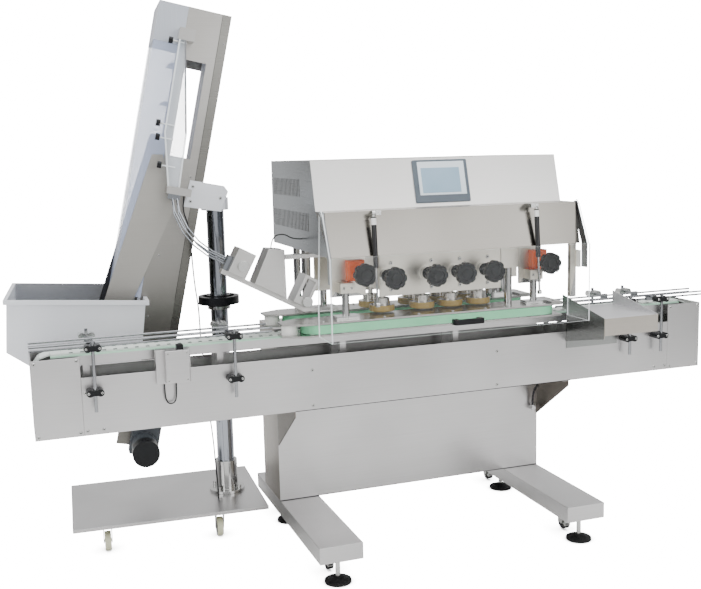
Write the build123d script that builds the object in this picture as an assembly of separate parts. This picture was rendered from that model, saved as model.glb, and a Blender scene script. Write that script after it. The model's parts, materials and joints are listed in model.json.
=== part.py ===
from build123d import *
import math
import os

# Bottle capping machine: a slat-chain conveyor on a cabinet, a capping head with
# eight spindles and two side belts, a cap dispenser, and a cap lift with its
# hopper on a wheeled cart. Millimetres. X runs with the bottles, Y away from
# the operator, Z up. While it is built, X = 0 lies just left of the conveyor,
# Y = 0 is the conveyor's front face and Z = 0 is the floor. At the end all of
# it is shifted so that the origin is under the middle of the outline.

# Sheet metal and fits
SHEET = 4.0
FIT = 0.08
GAP = 0.3

# Cabinet and feet
CABINET_LEFT = 960.0
CABINET_WIDTH = 1186.0
CABINET_FRONT = 267.0
CABINET_DEPTH = 248.0
CABINET_TOP = 870.0
FOOT_BEAM_WIDTH = 167.0
FOOT_BEAM_HEIGHT = 63.0
FOOT_BEAM_FRONT = -256.0
FOOT_BEAM_LENGTH = 911.0
FOOT_CLEARANCE = 96.0
FOOT_PAD_RADIUS = 50.0
FOOT_PAD_INSET = 53.0
BEAM_CASTER_RADIUS = 30.0
BEAM_CASTER_INSET = 150.0
GUSSET_DROP = 205.0
GUSSET_NOSE = 25.0

# Conveyor
TROUGH_LEFT = 31.0
TROUGH_LENGTH = 2758.0
TROUGH_DEPTH = 210.0
TROUGH_BOTTOM = 599.0
TROUGH_HEIGHT = 208.0
COVER_LENGTH = 164.0
COVER_HEIGHT = 281.0
CHAIN_WIDTH = 82.5
CHAIN_TOP = 885.0
CHAIN_PITCH = 38.1
SLAT_THICK = 4.8
SLAT_GAP = 0.8
SPROCKET_RADIUS = 60.0
SPROCKET_INSET = 70.0
SPROCKET_WIDTH = 40.0
SHAFT_RADIUS = 12.5
RAIL_HEIGHT = 33.0
RAIL_REACH = 55.0
RAIL_FLANGE = 30.0
WEAR_STRIP = 5.2
STANCHION_COUNT = 6
STANCHION_WIDTH = 24.0
RETURN_ROD_RADIUS = 10.0

# Guide rails
GUIDE_ROD_RADIUS = 4.0
GUIDE_REACH = 45.0
GUIDE_HEIGHTS = (18.0, 31.0)
GUIDE_LEFT = (30.0, 896.0)
GUIDE_RIGHT = (2110.0, 2850.0)
POST_STATIONS_LEFT = (238.0, 732.0)
POST_STATIONS_RIGHT = (2410.0, 2565.0)
GUIDE_POST_RADIUS = 6.0
GUIDE_POST_REACH = 35.0
GUIDE_POST_SPAN = (690.0, 938.0)
CLAMP_WIDTH = 60.0
CLAMP_HEIGHT = 25.0
LOWER_CLAMP_Z = 758.0
UPPER_CLAMP_Z = 914.0
CROSS_ROD_RADIUS = 5.0

# Junction box and reject tray
JUNCTION_LEFT = 450.0
JUNCTION_WIDTH = 122.0
JUNCTION_BOTTOM = 763.0
JUNCTION_HEIGHT = 122.0
TRAY_LEFT = 2125.0
TRAY_WIDTH = 244.0
TRAY_FRONT = -270.0
TRAY_BACK = 30.0
TRAY_FLOOR = 900.0
TRAY_WALL = 57.0
TRAY_APRON = 67.0
TRAY_SKIRT = 134.0
TRAY_SHEET = 3.0

# Side belts
BELT_UNIT_LEFT = 905.0
BELT_UNIT_RIGHT = 2050.0
BELT_UNIT_DEPTH = 140.0
BELT_UNIT_REACH = 55.0
BELT_LOOP_LEFT = 985.0
BELT_LOOP_RIGHT = 2036.0
BELT_HEIGHT = 33.0
BELT_THICK = 6.0
BELT_BOTTOM = 902.0
BELT_PLATE = 7.0
BELT_PLATE_GAP = 2.0
BELT_SETBACK = 2.0
NOSE_LENGTH = 80.0
NOSE_WIDTH = 60.0
NOSE_ROLLER_RADIUS = 30.0
END_CAP_LENGTH = 48.0
END_CAP_THICK = 8.0

# Upper housing and hood
HOUSING_LEFT = 1040.0
HOUSING_WIDTH = 1010.0
HOUSING_BACK = 526.0
HOUSING_TOP = 1530.0
HOUSING_BOTTOM = 1192.5
HOUSING_FRONT_TOP = -22.0
SLOPE_FOOT = (-71.0, 1349.0)
HOOD_LIP = -176.0
HOOD_BOTTOM_FRONT = -212.0
LOUVRE_WIDTH = 7.0
LOUVRE_PITCH = 19.0
LOUVRE_DEPTH = 3.0
LOUVRE_FIELDS = ((109.0, 492.0, 1395.0, 1461.0), (0.0, 500.0, 1270.0, 1337.0))
COLUMN_INSET = 80.0
FRONT_COLUMN_Y = 335.0
REAR_COLUMN_Y = 465.0
FRONT_COLUMN_RADIUS = 19.0
REAR_COLUMN_RADIUS = 15.0

# Operator panel, on the slope of the housing
PANEL_LEFT = 1436.0
PANEL_WIDTH = 224.0
PANEL_HEIGHT = 165.0
PANEL_DROP = 10.0
PANEL_THICK = 8.0
SCREEN_WIDTH = 192.0
SCREEN_HEIGHT = 128.0
SCREEN_MARGIN_TOP = 8.0
SCREEN_MARGIN_LEFT = 18.0
SCREEN_DEPTH = 3.0

# Capping head
HEAD_LEFT = 1310.0
HEAD_WIDTH = 514.0
HEAD_BOTTOM = 1010.0
HEAD_PLATE = 12.0
STATION_STEPS = (23.0, 191.0, 312.0, 433.0)
CARRIER_WIDTH = 84.0
CARRIER_BOTTOM = 1035.0
SPINDLE_REACH = 62.0
DISC_RADIUS = 49.0
DISC_HEIGHT = 25.0
DISC_BOTTOM = 950.0
HUB_RADIUS = 31.0
HUB_HEIGHT = 25.0
SPINDLE_SHAFT_RADIUS = 10.0
SPINDLE_SHAFT_GRIP = 40.0
KNOB_RADIUS = 42.5
KNOB_THICK = 26.0
KNOB_FRONT = -113.0
KNOB_NECK = 12.0
KNOB_NECK_RADIUS = 17.0
KNOB_LOBES = 8
KNOB_SCALLOP = 8.0
KNOB_SHAFT_RADIUS = 7.0
KNOB_Z = 1091.0
COLLAR_RADIUS = 25.0
COLLAR_LENGTH = 22.0
LEFT_END_KNOB = (1214.0, 1111.0)
RIGHT_END_KNOB = (1990.0, 1107.0)
LEFT_END_PLATE = (1113.0, 1253.0)
RIGHT_END_PLATE = (1907.0, 2007.0)
END_PLATE_BOTTOM = 1021.0
COUNTER_WIDTH = 66.0
COUNTER_HEIGHT = 78.0
COUNTER_DEPTH = 34.0
COUNTER_DROP = 30.0
SUSPENSION_RADIUS = 14.0
SUSPENSION_REACH = 30.0
SUSPENSION_X = (1160.0, 1953.0)
CLAMP_NUT = (56.0, 38.0, 58.0)
CLAMP_NUT_BOTTOM = 1041.0
FLANGE_SIZE = (90.0, 50.0, 12.0)
STAY_POST = (1868.0, 22.0)
STAY_POST_RADIUS = 16.0
STAY_BLOCK = (1826.0, 1906.0)
STAY_BLOCK_BOTTOM = 1087.0
INTERLOCK_POST_WIDTH = 25.0
INTERLOCK_POST_BOTTOM = 985.0
INTERLOCK_POST_INSET = 8.0
INTERLOCK_SWITCH = (-214.0, -168.0, 1100.0, 1165.0)

# Guard and gas springs
GUARD_OVERHANG = 14.0
GUARD_FRONT = -262.0
GUARD_SHEET = 6.0
GUARD_BOTTOM = 898.0
GUARD_TOP = 1194.0
GUARD_RETURN = 150.0
GUARD_RETURN_TOP = 1005.0
HINGE_Y = -170.0
HINGE_Z = 1340.0
HINGE_PIN_RADIUS = 5.0
HINGE_EYE = 18.0
HANDLE_WIDTH = 120.0
HANDLE_HEIGHT = 20.0
HANDLE_Z = 940.0
HANDLE_STAND = 30.0
SPRING_INSETS = (182.0, 205.0)
SPRING_TOP = (-215.0, 1344.0)
SPRING_FOOT = (-240.0, 1020.0)
SPRING_BODY_RADIUS = 9.0
SPRING_BODY_LENGTH = 194.0
SPRING_ROD_RADIUS = 4.0
SPRING_ROD_GRIP = 60.0
SPRING_STROKE = 45.0
SPRING_EYE_WIDTH = 12.0
SPRING_EYE_RADIUS = 8.0
SPRING_PIN_RADIUS = 4.0

# Cap dispenser, on a bar that slopes down to the head
FEED_ORIGIN = (839.0, 1085.0)
FEED_SLOPE = 28.2
FEED_BAR = (-128.0, 229.0)
FEED_BAR_HEIGHT = 18.0
FEED_BAR_WIDTH = 40.0
DISPENSER_FRONT = 60.0
DISPENSER_DEPTH = 90.0
DISPENSER_TOP = ((897.0, 1211.0), (957.0, 1204.0))
DISPENSER_LENGTH = 137.4
FIRST_BLOCK = (-110.0, -40.0, 97.0)
SECOND_BLOCK = (165.0, 225.0, 114.0)
FEED_KNOB_RADIUS = 20.0
FEED_KNOB_LENGTH = 15.0
ARM_Z = (1168.0, 1184.0)
ARM_WIDTH = 40.0
ARM_RIGHT = 1110.0
ARM_INSET = 30.0
LANE_TIP = ((1110.0, 972.0), (1170.0, 968.0))

# Cap track: four rods that curve down to the dispenser
TRACK_ROUTE = ((620.0, 436.0, 1396.0), (617.0, 381.0, 1340.0), (635.0, 312.0, 1278.0),
               (663.0, 243.0, 1230.0), (700.0, 174.0, 1195.0), (747.5, 107.0, 1169.0))
TRACK_ROD_RADIUS = 3.0
TRACK_SPREAD = 9.0
TRACK_BEND = 60.0
TRACK_COLLAR_WIDTH = 42.0
TRACK_COLLAR_HEIGHT = 56.0

# Cap lift, leaning on its side plates; turned a little from the conveyor
LIFT_PLACE = (139.0, 530.0)
LIFT_YAW = -4.0
LIFT_LEAN = 12.36
LIFT_BOTTOM = 445.0
LIFT_TOP = 2213.0
LIFT_DEPTH = 300.0
LIFT_WIDTH = 285.0
COVER_WIDTH = 115.0
COVER_SHEET = 5.0
COVER_BOTTOM = 1050.0
SEAM_STRIP = 34.0
SEAM_RISE = 2.0
WINDOW = (137.0, 217.0, 1630.0, 2010.0)
LIFT_ROLLER_RADIUS = 50.0
LIFT_BELT_THICK = 4.0
LIFT_BELT_WIDTH = 220.0
LIFT_AXIS_A = 177.0
LIFT_ROLLER_LOW = 515.0
LIFT_ROLLER_HIGH = 2140.0
CLEAT_LENGTH = 42.0
CLEAT_THICK = 5.0
CLEAT_PITCH = 155.0
MOTOR_AXIS = (220.0, 470.0)
MOTOR_RADIUS = 50.0
MOTOR_LENGTH = 140.0
FAN_COVER_RADIUS = 53.0
FAN_COVER_LENGTH = 55.0
GEARBOX = (165.0, 275.0, 425.0, 560.0)
GEARBOX_DEPTH = 60.0
CHEEK = ((66.0, 1620.0), (108.0, 1628.0), (186.0, 1425.0), (92.0, 1053.0), (40.0, 850.0),
         (-48.0, 850.0))
CHEEK_SHEET = 4.0
REAR_CHEEK_RISE = 90.0

# Hopper at the foot of the lift
HOPPER_LEFT = -163.0
HOPPER_RIGHT = 350.0
HOPPER_FRONT = -122.0
HOPPER_BACK = 402.0
HOPPER_RIM_Z = 1040.0
HOPPER_RIM_FALL = 34.0
HOPPER_WALL_Z = 839.0
HOPPER_FLOOR_Z = 612.0
HOPPER_FLOOR_LEFT = 136.0
HOPPER_FLOOR_RIGHT = 300.0
HOPPER_SHEET = 3.0
RIM_WIDTH = 12.0
RIM_HEIGHT = 17.0

# Chute in front of the lift
CHUTE_LEFT_EDGE = ((92.0, 2080.0), (94.0, 1714.0), (143.0, 1500.0))
CHUTE_RIGHT_EDGE = ((117.0, 2080.0), (181.0, 1722.0), (189.0, 1500.0))
CHUTE_STAND = 60.0
CHUTE_SHEET = 3.0
CHUTE_RAIL = 6.0
CHUTE_RAIL_DEPTH = 18.0
THUMB_KNOBS = ((62.0, 2062.0), (66.0, 1744.0), (72.0, 1690.0), (96.0, 1585.0))
THUMB_KNOB_RADIUS = 13.0
THUMB_KNOB_LENGTH = 16.0
CHUTE_CLAMP = (141.0, 236.0, 1482.0, 1512.0)
CHUTE_HEAD = (88.0, 150.0, 2072.0, 2118.0)
CHUTE_STAY = (120.0, 1740.0)
CHUTE_STAY_RADIUS = 6.0

# Cart, post and bracket
CART_PLACE = (146.0, 341.0)
CART_YAW = -3.0
CART_WIDTH = 775.0
CART_DEPTH = 549.0
CART_TOP = 135.0
CART_THICK = 15.0
POST_AXIS = (805.0, 570.0)
POST_RADIUS = 36.0
POST_TOP = 1390.0
POST_FLANGE_RADIUS = 75.0
POST_FLANGE_HEIGHT = 12.0
POST_SLEEVE_RADIUS = 47.0
POST_SLEEVE_TOP = 270.0
WHEEL_COLLAR_Z = 937.0
WHEEL_COLLAR_HEIGHT = 14.0
HAND_WHEEL_RADIUS = 85.0
HAND_WHEEL_HEIGHT = 45.0
BRACKET_OUTLINE = ((222.0, 1439.0), (374.0, 1446.0), (388.0, 1531.0), (368.0, 1550.0),
                   (230.0, 1548.0))
BRACKET_SHEET = 6.0
BRACKET_RING_RADIUS = 56.0
BRACKET_RING_BOTTOM = 1336.0
BRACKET_RING_HEIGHT = 50.0
BRACKET_WEB = (632.0, 692.0, 60.0)
CASTER_X = (133.0, 583.0)
CASTER_Y = (78.0, 470.0)
CASTER_RADIUS = 37.5
CASTER_WIDTH = 25.0
CASTER_TRAIL = 24.0
CASTER_PLATE = 6.0

# Cables
CORD_SHARE = 0.45
CABINET_CORD = 9.0
CABINET_CORD_INSET = 34.0
CABINET_CORD_FOOT = (247.0, 440.0)
CABINET_CORD_SET = 62.0
GLAND_RADIUS = 10.0
THIN_CORD = 5.0
LIFT_CORD = 6.0
JUNCTION_LOOP = ((478.0, 763.0), (478.0, 715.0), (486.75, 687.0), (511.25, 687.0), (520.0, 715.0),
                 (520.0, 763.0))
JUNCTION_LOOP_Y = -15.0
DISPENSER_CORD_X = 915.0
DISPENSER_CORD_ROUTE = ((968.0, 102.0, 1262.0), (1002.0, 106.0, 1238.0))
LIFT_CORD_START = (215.0, -30.0)
LIFT_CORD_DROP = 52.0
LIFT_CORD_FALL = ((672.0, 455.0, 1290.0), (746.0, 470.0, 195.0))
LIFT_CORD_STEPS = 13
LIFT_CORD_SWAY = 5.0

BASE = (Align.CENTER, Align.CENTER, Align.MIN)
LANE_Y = TROUGH_DEPTH / 2
TROUGH_RIGHT = TROUGH_LEFT + TROUGH_LENGTH
TROUGH_TOP = TROUGH_BOTTOM + TROUGH_HEIGHT
CABINET_RIGHT = CABINET_LEFT + CABINET_WIDTH
CABINET_BACK = CABINET_FRONT + CABINET_DEPTH
BEAM_TOP = FOOT_CLEARANCE + FOOT_BEAM_HEIGHT
SLAT_BOTTOM = CHAIN_TOP - SLAT_THICK
RAIL_TOP = SLAT_BOTTOM - WEAR_STRIP
CHAIN_AXIS_Z = SLAT_BOTTOM - SPROCKET_RADIUS
HOUSING_RIGHT = HOUSING_LEFT + HOUSING_WIDTH
HEAD_RIGHT = HEAD_LEFT + HEAD_WIDTH
STATIONS = [HEAD_LEFT + step for step in STATION_STEPS]
GUARD_LEFT = HOUSING_LEFT - GUARD_OVERHANG
GUARD_RIGHT = HOUSING_RIGHT + GUARD_OVERHANG
BELT_TOP = BELT_BOTTOM + BELT_HEIGHT
BELT_DECK = BELT_TOP + BELT_PLATE_GAP + BELT_PLATE
BELT_BASE = BELT_BOTTOM - BELT_PLATE_GAP - BELT_PLATE


# Shapes used by several pieces

def block(x, y, z):
    """A box between three pairs of low and high values."""
    size = Box(x[1] - x[0], y[1] - y[0], z[1] - z[0])
    return Pos((x[0] + x[1]) / 2, (y[0] + y[1]) / 2, (z[0] + z[1]) / 2) * size


def rod(start, end, radius):
    """A round bar from one point to another."""
    run = Vector(*end) - Vector(*start)
    place = Plane(origin=start, z_dir=run).location
    return place * Cylinder(radius, run.length, align=BASE)


def disc(centre, radius, low, high):
    """An upright round piece between two heights."""
    return rod((centre[0], centre[1], low), (centre[0], centre[1], high), radius)


def plate_xz(points, near, far):
    """An outline in X and Z, thick from one Y to another."""
    face = make_face(Polyline(*[(x, near, z) for x, z in points], close=True))
    return extrude(face, amount=far - near, dir=(0, 1, 0))


def plate_yz(points, left, right):
    """An outline in Y and Z, thick from one X to another."""
    face = make_face(Polyline(*[(left, y, z) for y, z in points], close=True))
    return extrude(face, amount=right - left, dir=(1, 0, 0))


def plate_xy(points, low, high):
    """An outline in X and Y, thick from one height to another."""
    face = make_face(Polyline(*[(x, y, low) for x, y in points], close=True))
    return extrude(face, amount=high - low, dir=(0, 0, 1))


def across(shape):
    """The same piece on the other side of the bottle lane."""
    return mirror(shape, Plane(origin=(0, LANE_Y, 0), z_dir=(0, 1, 0)))


def group(shapes):
    """Several separate solids kept as one node."""
    solids = []
    for shape in shapes:
        solids.extend(shape.solids())
    return Compound(solids)


def cord(points, diameter):
    """A cable: straight runs joined by arcs that touch them."""
    points = [Vector(*p) for p in points]
    radii = []
    for before, corner, after in zip(points, points[1:], points[2:]):
        turn = math.radians((corner - before).get_angle(after - corner))
        shorter = min((corner - before).length, (after - corner).length)
        radii.append(CORD_SHARE * shorter / math.tan(turn / 2))
    print("cable", diameter, "mm thick, bends at least", round(min(radii), 1), "mm in radius")
    path = FilletPolyline(*points, radius=radii)
    start = Plane(origin=path @ 0, z_dir=path % 0)
    return sweep(start * Circle(diameter / 2), path=path)


def in_feed(u, w, y):
    """A point given along and above the sloping feed bar."""
    slope = math.radians(FEED_SLOPE)
    x = FEED_ORIGIN[0] + u * math.cos(slope) + w * math.sin(slope)
    z = FEED_ORIGIN[1] - u * math.sin(slope) + w * math.cos(slope)
    return (x, y, z)


def feed_block(u, w, y):
    """A box that stands square on the sloping feed bar."""
    corners = [(u[0], w[0]), (u[1], w[0]), (u[1], w[1]), (u[0], w[1])]
    places = [in_feed(a, b, 0) for a, b in corners]
    return plate_xz([(p[0], p[2]) for p in places], y[0], y[1])


YAW_FRAME = Location((LIFT_PLACE[0], LIFT_PLACE[1], 0), (0, 0, LIFT_YAW))
LIFT_FRAME = YAW_FRAME * Location((0, 0, 0), (0, LIFT_LEAN, 0))
CART_FRAME = Location((CART_PLACE[0], CART_PLACE[1], 0), (0, 0, CART_YAW))


# Base

def foot_beams():
    depth = (FOOT_BEAM_FRONT, FOOT_BEAM_FRONT + FOOT_BEAM_LENGTH)
    left = block((CABINET_LEFT, CABINET_LEFT + FOOT_BEAM_WIDTH), depth, (FOOT_CLEARANCE, BEAM_TOP))
    right = Pos(CABINET_WIDTH - FOOT_BEAM_WIDTH, 0, 0) * left
    return group([fillet(beam.edges().filter_by(Axis.Y), 3) for beam in (left, right)])


def levelling_foot(x, y):
    pad = disc((x, y), FOOT_PAD_RADIUS, 0, 10)
    dome = Pos(x, y, 10) * Cone(FOOT_PAD_RADIUS - 6, 16, 14, align=BASE)
    stem = disc((x, y), 9, 20, FOOT_CLEARANCE)
    nut = Pos(x, y, FOOT_CLEARANCE - 12) * extrude(RegularPolygon(16, 6), 12)
    return pad + dome + stem + nut


def beam_caster(x, y):
    drop = 6
    axle_z = drop + BEAM_CASTER_RADIUS
    wheel = rod((x - 11, y + 12, axle_z), (x + 11, y + 12, axle_z), BEAM_CASTER_RADIUS)
    axle = rod((x - 17, y + 12, axle_z), (x + 17, y + 12, axle_z), 5)
    top = block((x - 22, x + 22), (y - 22, y + 30), (FOOT_CLEARANCE - 5, FOOT_CLEARANCE))
    shape = [(y - 16, FOOT_CLEARANCE - 5), (y + 26, FOOT_CLEARANCE - 5),
             (y + 20, axle_z - 6), (y + 4, axle_z - 6)]
    cheeks = plate_yz(shape, x - 17, x - 14) + plate_yz(shape, x + 14, x + 17)
    return wheel + axle + top + cheeks


def floor_feet():
    half = FOOT_BEAM_WIDTH / 2
    xs = (CABINET_LEFT + half, CABINET_RIGHT - half)
    back = FOOT_BEAM_FRONT + FOOT_BEAM_LENGTH
    pieces = []
    for x in xs:
        for y in (FOOT_BEAM_FRONT + FOOT_PAD_INSET, back - FOOT_PAD_INSET - BEAM_CASTER_INSET):
            pieces.append(levelling_foot(x, y))
        for y in (FOOT_BEAM_FRONT + BEAM_CASTER_INSET, back - FOOT_PAD_INSET - 40):
            pieces.append(beam_caster(x, y))
    return group(pieces)


def gusset(left):
    shape = [(CABINET_FRONT, TROUGH_BOTTOM - GUSSET_DROP), (CABINET_FRONT, TROUGH_BOTTOM),
             (10, TROUGH_BOTTOM), (10, TROUGH_BOTTOM - GUSSET_NOSE)]
    web = plate_yz(shape, left, left + SHEET)
    ledge = block((left, left + 30), (10, CABINET_FRONT), (TROUGH_BOTTOM - SHEET, TROUGH_BOTTOM))
    return web + ledge


def cabinet():
    body = block((CABINET_LEFT, CABINET_RIGHT), (CABINET_FRONT, CABINET_BACK),
                 (BEAM_TOP, CABINET_TOP))
    body = fillet(body.edges().filter_by(Axis.Z), 3)
    right = mirror(gusset(CABINET_LEFT), Plane(origin=((CABINET_LEFT + CABINET_RIGHT) / 2, 0, 0),
                                               z_dir=(1, 0, 0)))
    door_margin = 120
    door = block((CABINET_LEFT + door_margin, CABINET_RIGHT - door_margin),
                 (CABINET_BACK, CABINET_BACK + 2), (BEAM_TOP + 60, CABINET_TOP - 120))
    x = CABINET_RIGHT - CABINET_CORD_INSET
    y, z = CABINET_CORD_FOOT
    elbow = z - 1.4 * GLAND_RADIUS
    gland = rod((x, CABINET_FRONT + 1, elbow), (x, y - GLAND_RADIUS, elbow), GLAND_RADIUS)
    gland += disc((x, y), GLAND_RADIUS - 1, elbow, z)
    return body + gusset(CABINET_LEFT) + right + door + gland


# Conveyor

def trough():
    x = (TROUGH_LEFT + COVER_LENGTH, TROUGH_RIGHT - COVER_LENGTH)
    shell = block(x, (0, TROUGH_DEPTH), (TROUGH_BOTTOM, TROUGH_TOP))
    hollow = block((x[0] - 1, x[1] + 1), (SHEET, TROUGH_DEPTH - SHEET),
                   (TROUGH_BOTTOM + SHEET, TROUGH_TOP + 1))
    return shell - hollow


def end_covers():
    """Two boxes, open at the top and towards the trough."""
    top = TROUGH_BOTTOM + COVER_HEIGHT
    left = block((TROUGH_LEFT, TROUGH_LEFT + COVER_LENGTH), (0, TROUGH_DEPTH), (TROUGH_BOTTOM, top))
    left -= block((TROUGH_LEFT + SHEET, TROUGH_LEFT + COVER_LENGTH + 1),
                  (SHEET, TROUGH_DEPTH - SHEET), (TROUGH_BOTTOM + SHEET, top + 1))
    middle = Plane(origin=((TROUGH_LEFT + TROUGH_RIGHT) / 2, 0, 0), z_dir=(1, 0, 0))
    return group([left, mirror(left, middle)])


def rail_span():
    return (TROUGH_LEFT + SPROCKET_INSET, TROUGH_RIGHT - SPROCKET_INSET)


def stanchion_places():
    first = TROUGH_LEFT + COVER_LENGTH + STANCHION_WIDTH
    last = TROUGH_RIGHT - COVER_LENGTH - STANCHION_WIDTH
    step = (last - first) / (STANCHION_COUNT - 1)
    return [first + step * i for i in range(STANCHION_COUNT)]


def conveyor_rails():
    x = rail_span()
    face = LANE_Y - RAIL_REACH
    web = block(x, (face, face + SHEET), (RAIL_TOP - RAIL_HEIGHT, RAIL_TOP))
    flange = block(x, (face, face + RAIL_FLANGE), (RAIL_TOP - SHEET, RAIL_TOP))
    side = web + flange
    for place in stanchion_places():
        width = (place - STANCHION_WIDTH / 2, place + STANCHION_WIDTH / 2)
        side += block(width, (face, face + SHEET), (TROUGH_BOTTOM + SHEET, RAIL_TOP - SHEET))
    frame = side + across(side)
    rod_z = CHAIN_AXIS_Z - SPROCKET_RADIUS - SLAT_THICK - RETURN_ROD_RADIUS
    for place in stanchion_places():
        frame += rod((place, face + SHEET, rod_z), (place, TROUGH_DEPTH - face - SHEET, rod_z),
                     RETURN_ROD_RADIUS)
    strip = block(x, (face, face + RAIL_FLANGE), (RAIL_TOP, SLAT_BOTTOM))
    return group([frame, strip, across(strip)])


def slat_places():
    """Centre and turn of each slat, once round both sprockets."""
    x = rail_span()
    radius = SPROCKET_RADIUS + SLAT_THICK / 2
    run = x[1] - x[0]
    lap = 2 * run + 2 * math.pi * radius
    count = round(lap / CHAIN_PITCH)
    places = []
    for i in range(count):
        s = (i + 0.5) * lap / count
        if s < run:
            places.append((x[0] + s, CHAIN_AXIS_Z + radius, 0))
        elif s < run + math.pi * radius:
            turn = (s - run) / radius
            places.append((x[1] + radius * math.sin(turn), CHAIN_AXIS_Z + radius * math.cos(turn),
                           math.degrees(turn)))
        elif s < 2 * run + math.pi * radius:
            back = s - run - math.pi * radius
            places.append((x[1] - back, CHAIN_AXIS_Z - radius, 180))
        else:
            turn = (s - 2 * run) / radius
            places.append((x[0] + radius * math.sin(turn), CHAIN_AXIS_Z + radius * math.cos(turn),
                           math.degrees(turn)))
    return places


def slat_chain():
    slat = Box(CHAIN_PITCH - SLAT_GAP, CHAIN_WIDTH, SLAT_THICK)
    pieces = [Location((x, LANE_Y, z), (0, turn, 0)) * slat for x, z, turn in slat_places()]
    for x in rail_span():
        wheel = rod((x, LANE_Y - SPROCKET_WIDTH / 2, CHAIN_AXIS_Z),
                    (x, LANE_Y + SPROCKET_WIDTH / 2, CHAIN_AXIS_Z), SPROCKET_RADIUS - FIT)
        shaft = rod((x, SHEET, CHAIN_AXIS_Z), (x, TROUGH_DEPTH - SHEET, CHAIN_AXIS_Z),
                    SHAFT_RADIUS)
        pieces.append(wheel + shaft)
    return group(pieces)


def guide_side(span, stations):
    y = LANE_Y - GUIDE_REACH
    heights = [CHAIN_TOP + rise for rise in GUIDE_HEIGHTS]
    side = Part()
    for z in heights:
        side += rod((span[0], y, z), (span[1], y, z), GUIDE_ROD_RADIUS)
    for x in stations:
        side += block((x - 15, x + 15), (y - 14, y - 1), (heights[0] - 6, heights[1] + 6))
        side += rod((x, -GUIDE_POST_REACH + 25, UPPER_CLAMP_Z), (x, y - 13, UPPER_CLAMP_Z),
                    CROSS_ROD_RADIUS)
    return side


def guide_rails():
    pieces = []
    for span, stations in ((GUIDE_LEFT, POST_STATIONS_LEFT), (GUIDE_RIGHT, POST_STATIONS_RIGHT)):
        side = guide_side(span, stations)
        pieces += [side, across(side)]
        for x in stations:
            post = disc((x, -GUIDE_POST_REACH), GUIDE_POST_RADIUS, *GUIDE_POST_SPAN)
            pieces += [post, across(post)]
    return group(pieces)


def guide_clamp(x, z, back):
    lobe = CLAMP_HEIGHT / 2
    end = CLAMP_WIDTH / 2 - lobe
    front = -GUIDE_POST_REACH - 12
    body = block((x - end, x + end), (front, back), (z - lobe + 3, z + lobe - 3))
    for side in (-end, end):
        body += rod((x + side, front, z), (x + side, back, z), lobe)
    return body - disc((x, -GUIDE_POST_REACH), GUIDE_POST_RADIUS + FIT, z - lobe, z + lobe)


def guide_clamps():
    pieces = []
    for x in POST_STATIONS_LEFT + POST_STATIONS_RIGHT:
        for z, back in ((LOWER_CLAMP_Z, 0), (UPPER_CLAMP_Z, -GUIDE_POST_REACH + 25)):
            clamp = guide_clamp(x, z, back)
            pieces += [clamp, across(clamp)]
    return group(pieces)


def junction_box():
    right = JUNCTION_LEFT + JUNCTION_WIDTH
    top = JUNCTION_BOTTOM + JUNCTION_HEIGHT
    back = block((JUNCTION_LEFT, right), (-30, 0), (JUNCTION_BOTTOM, top))
    face = block((JUNCTION_LEFT + 29, right - 7), (-60, -30), (JUNCTION_BOTTOM + 6, top))
    sensor = block((JUNCTION_LEFT + 72, JUNCTION_LEFT + 96), (-48, -24), (top, top + 18))
    return back + chamfer(face.edges().group_by(Axis.Y)[0], 2) + sensor


def reject_tray():
    left, right = TRAY_LEFT, TRAY_LEFT + TRAY_WIDTH
    floor = block((left, right), (TRAY_FRONT, TRAY_BACK), (TRAY_FLOOR - TRAY_SHEET, TRAY_FLOOR))
    wall = [(TRAY_BACK, TRAY_FLOOR), (TRAY_BACK, TRAY_FLOOR + TRAY_WALL),
            (TRAY_FRONT, TRAY_FLOOR + 2), (TRAY_FRONT, TRAY_FLOOR)]
    skirt = [(0, TRAY_FLOOR), (0, TRAY_FLOOR - TRAY_SKIRT),
             (TRAY_FRONT, TRAY_FLOOR - TRAY_APRON - 13), (TRAY_FRONT, TRAY_FLOOR)]
    apron = block((left, right), (TRAY_FRONT - TRAY_SHEET, TRAY_FRONT),
                  (TRAY_FLOOR - TRAY_APRON, TRAY_FLOOR))
    back = block((left, right), (-TRAY_SHEET, 0), (TROUGH_TOP - 70, TRAY_FLOOR))
    return (floor + plate_yz(wall, left, left + TRAY_SHEET)
            + plate_yz(wall, right - TRAY_SHEET, right)
            + plate_yz(skirt, left, left + TRAY_SHEET) + apron + back)


# Side belts

def belt_loop(near, far, inset):
    """A closed belt outline between two end pulleys."""
    radius = (far - near) / 2 - inset
    left = BELT_LOOP_LEFT + radius + inset
    right = BELT_LOOP_RIGHT - radius - inset
    middle = (near + far) / 2
    slot = Pos((left + right) / 2, middle, BELT_BOTTOM) * SlotCenterToCenter(right - left,
                                                                           2 * radius)
    return extrude(slot, BELT_HEIGHT)


def belt_sides():
    far = LANE_Y - BELT_UNIT_REACH
    return (far - BELT_UNIT_DEPTH, far)


def side_belt():
    near, far = belt_sides()
    outer = belt_loop(near + BELT_SETBACK, far - BELT_SETBACK, 0)
    inner = belt_loop(near + BELT_SETBACK, far - BELT_SETBACK, BELT_THICK)
    return outer - inner


def side_belts():
    belt = side_belt()
    return group([belt, across(belt)])


def belt_plate(low, high):
    near, far = belt_sides()
    middle = (near + far) / 2
    shape = [(BELT_UNIT_LEFT, middle - NOSE_WIDTH / 2), (BELT_UNIT_LEFT + NOSE_LENGTH, near),
             (BELT_UNIT_RIGHT, near), (BELT_UNIT_RIGHT, far), (BELT_UNIT_LEFT + NOSE_LENGTH, far),
             (BELT_UNIT_LEFT, middle + NOSE_WIDTH / 2)]
    return plate_xy(shape, low, high)


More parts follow.
